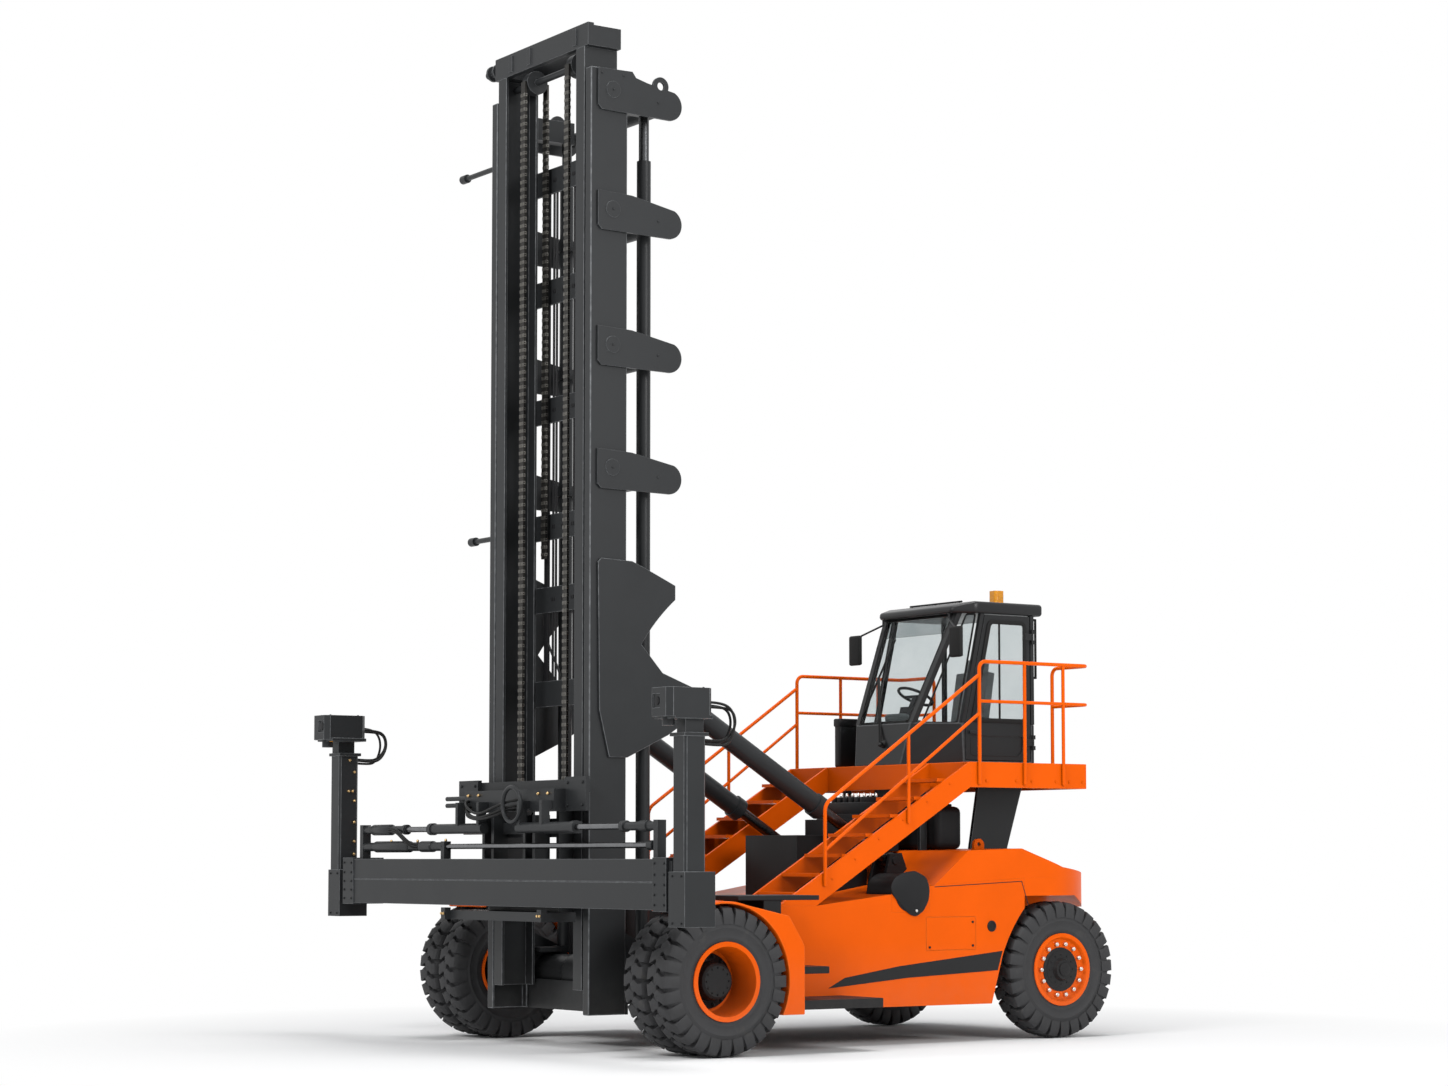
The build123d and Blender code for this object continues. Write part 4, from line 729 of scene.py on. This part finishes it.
for side, s in SIDES.items():
    leg = f"leg_{side}"
    bolts(f"beam_collar_bolts_{side}", [(s * x, -1.052, z) for x in (2.59, 2.73) for z in COLLAR_HEIGHTS],
          FORWARD, 0.011, 0.008, "spreader", MAST_GREY)
    bolts(f"leg_fittings_{side}", [(s * 2.845, y, z) for y, z in LEG_FITTINGS], (-s, 0.0, 0.0), 0.013, 0.02,
          leg, BRASS)
    bolts(f"leg_base_bolts_{side}", [(s * x, -1.06, z) for z in (1.13, 1.5) for x in (2.86, 2.99)],
          FORWARD, 0.01, 0.008, leg, MAST_GREY)
    bolts(f"head_lid_bolts_{side}", [(s * x, y, 2.98) for x in (2.83, 3.02) for y in (-1.16, -0.87)],
          UP, 0.01, 0.006, leg, MAST_GREY)
    lamp = placed(f"hook_box_lamp_{side}", turned(BOX_LAMP, 28), from_axle(s * 2.885, -1.211, 2.875),
                  facing(FORWARD))
    dress(lamp, leg, GEAR_BLACK)
bolts("guide_bar_fittings", [(x, GUIDE_BAR_Y, z) for x, z in GUIDE_FITTINGS], UP, 0.014, 0.018,
      "spreader", BRASS)
bolts("carriage_fittings", [(x, -0.88, z) for x, z in CARRIAGE_FITTINGS], FORWARD, 0.014, 0.018,
      "carriage", BRASS)
bolts("carriage_hook_bolts", [(x, -1.06, 1.155) for x in (-0.845, -0.805, 0.805, 0.845)], FORWARD,
      0.013, 0.012, "carriage", BRASS)
bolts("cheek_bolts", [(s * x, -0.76, z) for s in (1, -1) for x in (0.79, 1.03) for z in (2.09, 2.28)],
      FORWARD, 0.014, 0.01, "carriage", MAST_GREY)

# Bolts on the mast's side plates: two on the top one, then one in each tail and on each round boss
PLATE_FACE_X = 0.879
BOSS_FACE_X = 0.887
PLATE_HEIGHTS = (8.25, 7.2, 6.02, 4.955)
for side, s in SIDES.items():
    spots = [(PLATE_FACE_X, y, 8.42) for y in (-0.49, -0.27)]
    spots += [(PLATE_FACE_X, 0.09, z - 0.02) for z in PLATE_HEIGHTS]
    spots += [(BOSS_FACE_X, -0.377, z + 0.035) for z in PLATE_HEIGHTS]
    bolts(f"mast_plate_bolts_{side}", [(s * x, y, z) for x, y, z in spots], (s, 0.0, 0.0), 0.012, 0.006,
          "mast", MAST_GREY)

# Leaf chain links over the chain straps
CHAIN_X = 0.375
CHAIN_TOP = 8.56
CHAIN_STEP = 0.066
LEAF = ((-0.014, -0.017), (0.014, -0.017), (0.014, 0.017), (-0.014, 0.017))
link = [cut_plate([(x - 0.004, y, z) for y, z in LEAF], (0.008, 0.0, 0.0), 0.006, 2)
        for x in (-0.03, -0.011, 0.011, 0.03)]
link += [cross_pin(8, 0.006, 0.074, (0.0, 0.0, z)) for z in (-0.009, 0.009)]
link = joined("chain_link", link)
for face, depth, low in (("front", -0.535, 2.33), ("rear", -0.305, 4.34)):
    count = int((CHAIN_TOP - low) / CHAIN_STEP)
    spots = [from_axle(s * CHAIN_X, depth, low + CHAIN_STEP * i) for s in (1, -1) for i in range(count)]
    run = repeated(f"leaf_chain_{face}", link, [(spot, NO_TURN) for spot in spots])
    dress(run, "inner_mast", CHAIN_STEEL)
scrap(link)

# Cab: window seals, slider bar, panel bead, wiper, mirror heads, washer box, rails, visor
CAB_MIDDLE = from_axle(0.0, 4.0, 3.4)
SEAL_DEPTH = 0.012
DOOR_SKIN_X = 0.678
SCREEN_FOOT_Y, SCREEN_FOOT_Z = 3.21, 2.9
SCREEN_LEAN = 0.427
SCREEN_AHEAD, SCREEN_UP = 0.92, 0.39
SCREEN_CORNERS = [(-0.381, SCREEN_FOOT_Y, SCREEN_FOOT_Z), (0.381, SCREEN_FOOT_Y, SCREEN_FOOT_Z),
                  (0.511, 3.648, 3.926), (-0.511, 3.648, 3.926)]
QUARTER_CORNERS = ((0.462, 3.286, 2.9), (0.644, 3.573, 2.9), (0.641, 3.802, 3.925), (0.589, 3.72, 3.925))
DOOR_WINDOW = ((3.716, 2.93), (4.36, 2.93), (4.36, 3.852), (3.925, 3.852))
DOOR_PANEL = ((3.7, 2.595), (4.285, 2.595), (4.335, 2.655), (4.335, 2.79), (3.7, 2.79))


def pane_seal(name, body, corners, proud, width, corner, grow):
    """Rubber frame round a pane, standing proud of it away from the cab's middle."""
    places = [from_axle(*c) for c in corners]
    middle = sum(places, Vector()) / len(places)
    way = (places[1] - places[0]).cross(places[2] - places[0]).normalized()
    if way.dot(middle - CAB_MIDDLE) < 0:
        way = -way
    places = [p + (p - middle).normalized() * grow + way * (proud - SEAL_DEPTH) for p in places]
    dress(named(gasket(places, way * SEAL_DEPTH, width, corner), name), body, SEAL)


def on_screen(x, z, proud):
    """Place in front of the leaning screen."""
    glass_y = SCREEN_FOOT_Y + SCREEN_LEAN * (z - SCREEN_FOOT_Z)
    return (x, glass_y - proud * SCREEN_AHEAD, z + proud * SCREEN_UP)


pane_seal("screen_seal", "chassis", SCREEN_CORNERS, proud=0.008, width=0.04, corner=0.07, grow=0.02)
for side, s in SIDES.items():
    pane_seal(f"quarter_seal_{side}", "chassis", [(s * x, y, z) for x, y, z in QUARTER_CORNERS],
              proud=0.006, width=0.018, corner=0.03, grow=0.01)
pane_seal("door_window_seal", "door", [(DOOR_SKIN_X, y, z) for y, z in DOOR_WINDOW],
          proud=0.012, width=0.042, corner=0.06, grow=0.028)
slider = [block((0.662, 0.672), (4.05, 4.07), (2.93, 3.852), 0.002),
          block((0.66, 0.67), (3.8, 4.36), (2.935, 2.95), 0.002)]
dress(joined("door_slider_bar", slider), "door", SEAL)
bead = gasket([from_axle(DOOR_SKIN_X, y, z) for y, z in DOOR_PANEL], (0.004, 0.0, 0.0), 0.008, 0.03)
dress(named(bead, "door_panel_bead"), "door", CAB_GREY)
wiper = [rod((0.06, 3.13, 2.7), (0.06, 3.19, 2.72), 0.034, 20, 0.006),
         rod((0.06, 3.125, 2.71), on_screen(-0.26, 3.32, 0.05), 0.009),
         rod((0.03, 3.125, 2.73), on_screen(-0.29, 3.34, 0.05), 0.007),
         rod(on_screen(-0.275, 3.33, 0.05), on_screen(-0.31, 3.34, 0.02), 0.01),
         rod(on_screen(-0.37, 2.98, 0.02), on_screen(-0.26, 3.72, 0.02), 0.011, 8),
         rod((0.06, 3.12, 2.71), (0.06, 3.1, 2.69), 0.016)]
dress(joined("screen_wiper", wiper), "chassis", SEAL)
for side, s in SIDES.items():
    shell = block((s * 0.692, s * 0.868), (3.428, 3.476), (3.5, 3.79), 0.03, 4)
    dress(named(shell, f"mirror_shell_{side}"), "chassis", SEAL)
    glass = block((s * 0.712, s * 0.848), (3.474, 3.479), (3.525, 3.765), 0.0018, 1)
    dress(named(glass, f"mirror_glass_{side}"), "chassis", CHROME)
washer_box = [block((-0.79, -0.7), (3.2, 3.42), (2.51, 2.96), 0.02, 3),
              block((-0.796, -0.694), (3.192, 3.428), (2.9, 2.98), 0.015)]
dress(joined("washer_box", washer_box), "chassis", GEAR_BLACK)
grab = [rod((0.62, 4.49, z), (0.62, 4.54, z), 0.012) for z in (3.35, 3.9)]
grab.append(rod((0.62, 4.54, 3.34), (0.62, 4.54, 3.91), 0.012))
dress(joined("cab_grab_rail", grab), "chassis", SEAL)
rail = [rod((x, 3.86, 4.035), (x, 3.86, 4.066), 0.008) for x in (-0.4, -0.04, 0.32)]
rail.append(rod((-0.44, 3.86, 4.066), (0.36, 3.86, 4.066), 0.009))
dress(joined("roof_front_rail", rail), "chassis", SEAL)
visor = cut_plate([from_axle(*on_screen(x, z, 0.006))
                   for x, z in ((-0.455, 3.74), (0.455, 3.74), (0.475, 3.9), (-0.475, 3.9))],
                  (0.0, -0.006 * SCREEN_AHEAD, 0.006 * SCREEN_UP), 0.03)
dress(eased(named(visor, "screen_visor"), 0.001, 1), "chassis", TINT)

# Roof, its front edge falling over the screen
ROOF = ((-0.56, 3.57), (0.56, 3.57), (0.69, 3.775), (0.69, 4.58), (-0.69, 4.58), (-0.69, 3.775))
ROOF_UNDER, ROOF_DEPTH = 3.93, 0.115
ROOF_TOP_ABOVE = 4.0
roof = cut_plate([from_axle(x, y, ROOF_UNDER) for x, y in ROOF], (0.0, 0.0, ROOF_DEPTH))
choose_points(roof, lambda p: p.z > ROOF_TOP_ABOVE and 3.7 < p.y - AXLE_Y < 4.0)
bpy.ops.mesh.vert_connect_path()
choose_points(roof, lambda p: p.z > ROOF_TOP_ABOVE and p.y - AXLE_Y < 3.6)
bpy.ops.transform.translate(value=(0.0, 0.0, -0.05))
bpy.ops.object.mode_set(mode="OBJECT")
eased(roof, 0.04, 5, angle=24.0)
dress(named(roof, "cab_roof_finished"), "chassis", CAB_GREY, smooth=40.0)
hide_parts("cab_roof")

# Dash under the screen, with its hood and two dials
dash = [block((-0.36, 0.36), (3.255, 3.4), (2.72, 2.93), 0.03, 3),
        block((0.2, 0.5), (3.42, 3.75), (2.6, 2.9), 0.05, 3),
        block((-0.13, 0.13), (3.3, 3.42), (2.92, 3.0), 0.03, 3)]
dress(joined("cab_dash", dash), "chassis", DASH)
dials = [rod((x, 3.42, 2.965), (x, 3.426, 2.967), 0.03, 24) for x in (-0.06, 0.06)]
dress(joined("dash_dials", dials), "chassis", SEAL)


# Driver's seat: padded cushion and back sewn in three panels, and a plain head rest
def padded_block(name, xs, ys, zs, lean, seams):
    """Crowned pad with sewn grooves along it, tipped about its lower edge."""
    pad = sharp_block(xs, ys, zs)
    bpy.ops.object.mode_set(mode="EDIT")
    bpy.ops.mesh.select_all(action="SELECT")
    bpy.ops.mesh.subdivide(number_cuts=5)
    bpy.ops.object.mode_set(mode="OBJECT")
    eased(pad, 0.03, 3, angle=40.0)
    for i in range(1, seams + 1):
        x = xs[0] + (xs[1] - xs[0]) * i / (seams + 1)
        choose_faces(pad, lambda c, n: abs(c.x - x) < 0.03 and (n.z > 0.7 or n.y < -0.7))
        bpy.ops.mesh.inset(thickness=0.008, depth=-0.008)
    bpy.ops.object.mode_set(mode="OBJECT")
    puff = pad.modifiers.new("puffed", "SUBSURF")
    puff.levels = puff.render_levels = 2
    hold(pad)
    bpy.ops.object.modifier_apply(modifier=puff.name)
    if lean:
        foot = from_axle(0.0, ys[0], zs[0])
        tip = Matrix.Rotation(-lean, 4, "X")
        pad.data.transform(Matrix.Translation(foot) @ tip @ Matrix.Translation(-foot))
    dress(named(pad, name), "chassis", FABRIC, smooth=60.0)
    return pad


cushion = padded_block("seat_cushion", (-0.26, 0.26), (3.8, 4.27), (2.81, 2.93), 0.0, 2)
padded_block("seat_back", (-0.245, 0.245), (4.185, 4.275), (2.935, 3.43), 0.16, 2)
padded_block("seat_head_rest", (-0.14, 0.14), (4.285, 4.36), (3.42, 3.55), 0.12, 0)
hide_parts("cab_seat")


# Hoses looped behind each hook box, and from the carriage's valve block, with their diameters
HOSE_SLIM = 0.016
HOSE_WIDE = 0.022
HOSE_WIDEST = 0.024


def hose(name, places, diameter, body):
    """Hose on one smooth line along its route, both ends in the machine."""
    line = bpy.data.curves.new(name, "CURVE")
    line.dimensions = "3D"
    line.resolution_u = 12
    route = line.splines.new("NURBS")
    route.points.add(len(places) - 1)
    for point, place in zip(route.points, places):
        point.co = (*from_axle(*place), 1.0)
    route.order_u = 3
    route.use_endpoint_u = True
    piece = bpy.data.objects.new(name, line)
    bpy.context.scene.collection.objects.link(piece)
    bpy.context.view_layer.update()
    trace = bpy.data.meshes.new_from_object(piece)
    bpy.data.meshes.remove(trace)
    line.bevel_depth = diameter / 2
    line.bevel_resolution = 3
    line.use_fill_caps = True
    line.materials.append(HOSE)
    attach(piece, body)


for side, s in SIDES.items():
    for i, (x, drop) in enumerate(((2.9, 0.0), (2.945, 0.015), (2.985, -0.02))):
        loop = ((-0.802, 2.85 - drop), (-0.68, 2.85 - drop), (-0.55 + drop, 2.82), (-0.52 + drop, 2.69),
                (-0.6, 2.56 + drop), (-0.72, 2.55 + drop), (-0.848, 2.56 + drop))
        hose(f"head_hose_{side}_{i}", [(s * x, y, z) for y, z in loop], HOSE_WIDE, f"leg_{side}")
for i, z in enumerate((2.06, 2.09, 2.14)):
    near, far = 0.04 * i, 0.03 * i
    hose(f"block_hose_{i}", [(0.12 + near, -0.882, z), (0.1 + near, -0.95, z), (0.0, -1.0, z - 0.05),
                             (-0.3, -1.02, z - 0.09 - 0.02 * i), (-0.55, -0.99, z - 0.05),
                             (-0.6 - far, -0.93, z), (-0.62 - far, -0.882, z)], HOSE_WIDEST, "carriage")


# Spreader's sleeves and the hoses between them, and the signal lamps under the hook boxes
def sleeve(start, end, height, radius):
    """Sleeve on a guide bar with rolled ends."""
    long = end - start
    neck = radius * 0.84
    tube = turned([(0.0, 0.02), (0.0, neck), (long * 0.04, radius), (long * 0.96, radius), (long, neck),
                   (long, 0.02)], 32)
    return placed("sleeve", tube, from_axle(start, GUIDE_BAR_Y, height))


# Each row: start, end, height, radius
SLEEVES = (
    (-2.34, -1.98, 1.9, 0.05),
    (-1.74, -1.69, 1.9, 0.046),
    (1.96, 2.02, 1.9, 0.048),
    (2.24, 2.36, 1.9, 0.046),
    (-2.3, -1.62, 1.745, 0.052),
    (-1.42, -1.2, 1.745, 0.05),
    (2.36, 2.44, 1.745, 0.04),
)
# Where each hose leaves the upper sleeve and enters the lower one
SLEEVE_HOSES = (((-0.988, 1.915), (-0.988, 1.765)), ((-0.991, 1.9), (-0.992, 1.745)),
                ((-0.989, 1.883), (-0.988, 1.725)))
SIGNAL_LENS = [(0.0, 0.0), (0.0, 0.024), (0.03, 0.022), (0.038, 0.012), (0.04, 0.0)]
dress(joined("spreader_sleeves", [sleeve(*row) for row in SLEEVES]), "spreader", MAST_GREY)
for i, (high, low) in enumerate(SLEEVE_HOSES):
    drop = 0.018 * i
    hose(f"spreader_hose_{i}", [(-1.98, *high), (-1.88, high[0] - 0.006, high[1] + 0.002),
                                (-1.77, -1.008, 1.895 - drop), (-1.67, -1.012, 1.845 - drop),
                                (-1.57, -1.008, 1.795 - drop), (-1.5, low[0] - 0.006, low[1] + 0.004),
                                (-1.42, *low)], HOSE_SLIM, "spreader")
for side, s in SIDES.items():
    lens = placed(f"head_signal_{side}", turned(SIGNAL_LENS, 24), from_axle(s * 2.86, -1.12, 2.755),
                  facing(FORWARD))
    dress(lens, f"leg_{side}", AMBER)

# Pipes and hoses up the inner mast, held in its crossbars
PIPE_Y = -0.2375
PIPE_RADIUS = 0.0115
PIPE_SIDES = 12
PIPE_FOOT, PIPE_TOP = 3.02, 7.8
PIPES = ((-0.33, PIPE_FOOT), (-0.28, PIPE_FOOT), (-0.14, PIPE_FOOT), (0.02, PIPE_FOOT), (0.06, 3.86),
         (0.25, PIPE_FOOT))
pipes = [rod((x, PIPE_Y, low), (x, PIPE_Y, PIPE_TOP), PIPE_RADIUS, PIPE_SIDES) for x, low in PIPES]
pipes.append(block((-0.47, -0.4), (-0.249, -0.226), (PIPE_FOOT, PIPE_TOP)))
pipes += [rod((0.02, PIPE_Y, z), (0.06, PIPE_Y, z), PIPE_RADIUS, PIPE_SIDES) for z in (4.6, 5.64, 6.7)]
dress(joined("inner_mast_pipes", pipes), "inner_mast", GEAR_BLACK)
for i, (x0, x1) in enumerate(((0.5, 0.12), (0.42, 0.06), (-0.5, -0.2))):
    route = ((x0, 3.88), (x0, 3.78), (x0 * 0.9 + x1 * 0.1, 3.66), (x0 * 0.6 + x1 * 0.4, 3.5),
             (x0 * 0.2 + x1 * 0.8, 3.35), (x1, 3.26), (x1, 3.16))
    hose(f"inner_mast_hose_{i}", [(x, PIPE_Y, z) for x, z in route], HOSE_WIDE, "inner_mast")
clamps = [block((x - 0.024, x + 0.024), (-0.256, -0.249), (z - 0.016, z + 0.016), 0.003)
          for x in (-0.305, -0.14, 0.02, 0.25) for z in (3.94, 4.59, 5.64, 6.71, 7.72)]
dress(joined("pipe_clamps", clamps), "inner_mast", GEAR_BLACK)

# Studio: pale floor that fades to white, soft light, the photograph's camera
FLOOR_FADE = (3.4, 7.6)
world = bpy.data.worlds.new("studio")
bpy.context.scene.world = world
world.use_nodes = True
tree = world.node_tree
tree.nodes.clear()
ambient = tuned(tree.nodes.new("ShaderNodeBackground"), {"Color": (0.95, 0.97, 1.0, 1.0), "Strength": 0.32})
white = tuned(tree.nodes.new("ShaderNodeBackground"), {"Color": (1.0, 1.0, 1.0, 1.0)})
rays = tree.nodes.new("ShaderNodeLightPath")
mirrored = maths(tree, "MAXIMUM", rays.outputs["Is Glossy Ray"], rays.outputs["Is Transmission Ray"])
seen = maths(tree, "MAXIMUM", rays.outputs["Is Camera Ray"], mirrored)
sky = tree.nodes.new("ShaderNodeOutputWorld")
tree.links.new(mix_shaders(tree, seen, ambient, white), sky.inputs["Surface"])

clear()
bpy.ops.mesh.primitive_plane_add(size=160)
floor = bpy.context.object
floor.name = "studio_floor"
floor_finish, tree, shader = finish_nodes("studio_floor")
tuned(shader, {"Base Color": (0.97, 0.97, 0.97, 1.0), "Roughness": 0.9})
glow = tuned(tree.nodes.new("ShaderNodeEmission"), {"Strength": 1.0})
place = tree.nodes.new("ShaderNodeTexCoord")
reach = tree.nodes.new("ShaderNodeVectorMath")
reach.operation = "LENGTH"
tree.links.new(place.outputs["Object"], reach.inputs[0])
fade = level(tree, reach.outputs["Value"], FLOOR_FADE, 0.0, 1.0)
tree.links.new(mix_shaders(tree, fade, shader, glow), tree.nodes["Material Output"].inputs["Surface"])
floor.data.materials.append(floor_finish)


def studio_lamp(name, place, aim, size, power):
    data = bpy.data.lights.new(name, "AREA")
    data.size = size
    data.energy = power
    lamp = bpy.data.objects.new(name, data)
    bpy.context.scene.collection.objects.link(lamp)
    lamp.location = place
    lamp.rotation_mode = "QUATERNION"
    lamp.rotation_quaternion = (Vector(aim) - Vector(place)).to_track_quat("-Z", "Y")


studio_lamp("key", (6.0, -16.0, 13.0), (0.0, 0.0, 3.0), 6.0, 1500)
studio_lamp("side", (17.0, 2.0, 9.0), (0.0, 0.0, 2.5), 6.0, 1050)
studio_lamp("top", (1.0, 1.0, 17.0), (0.0, 0.0, 0.0), 8.0, 1250)

view = bpy.data.cameras.new("photo_view")
view.sensor_width = 36.0
view.lens = 77.36
view.shift_y = 0.06
view.clip_end = 300.0
camera = bpy.data.objects.new("photo_view", view)
bpy.context.scene.collection.objects.link(camera)
camera.location = from_axle(23.364, -14.521, 1.64)
camera.rotation_euler = (math.radians(94.199), 0.0, math.radians(55.761))
bpy.context.scene.camera = camera
bpy.context.scene.view_settings.view_transform = "Standard"
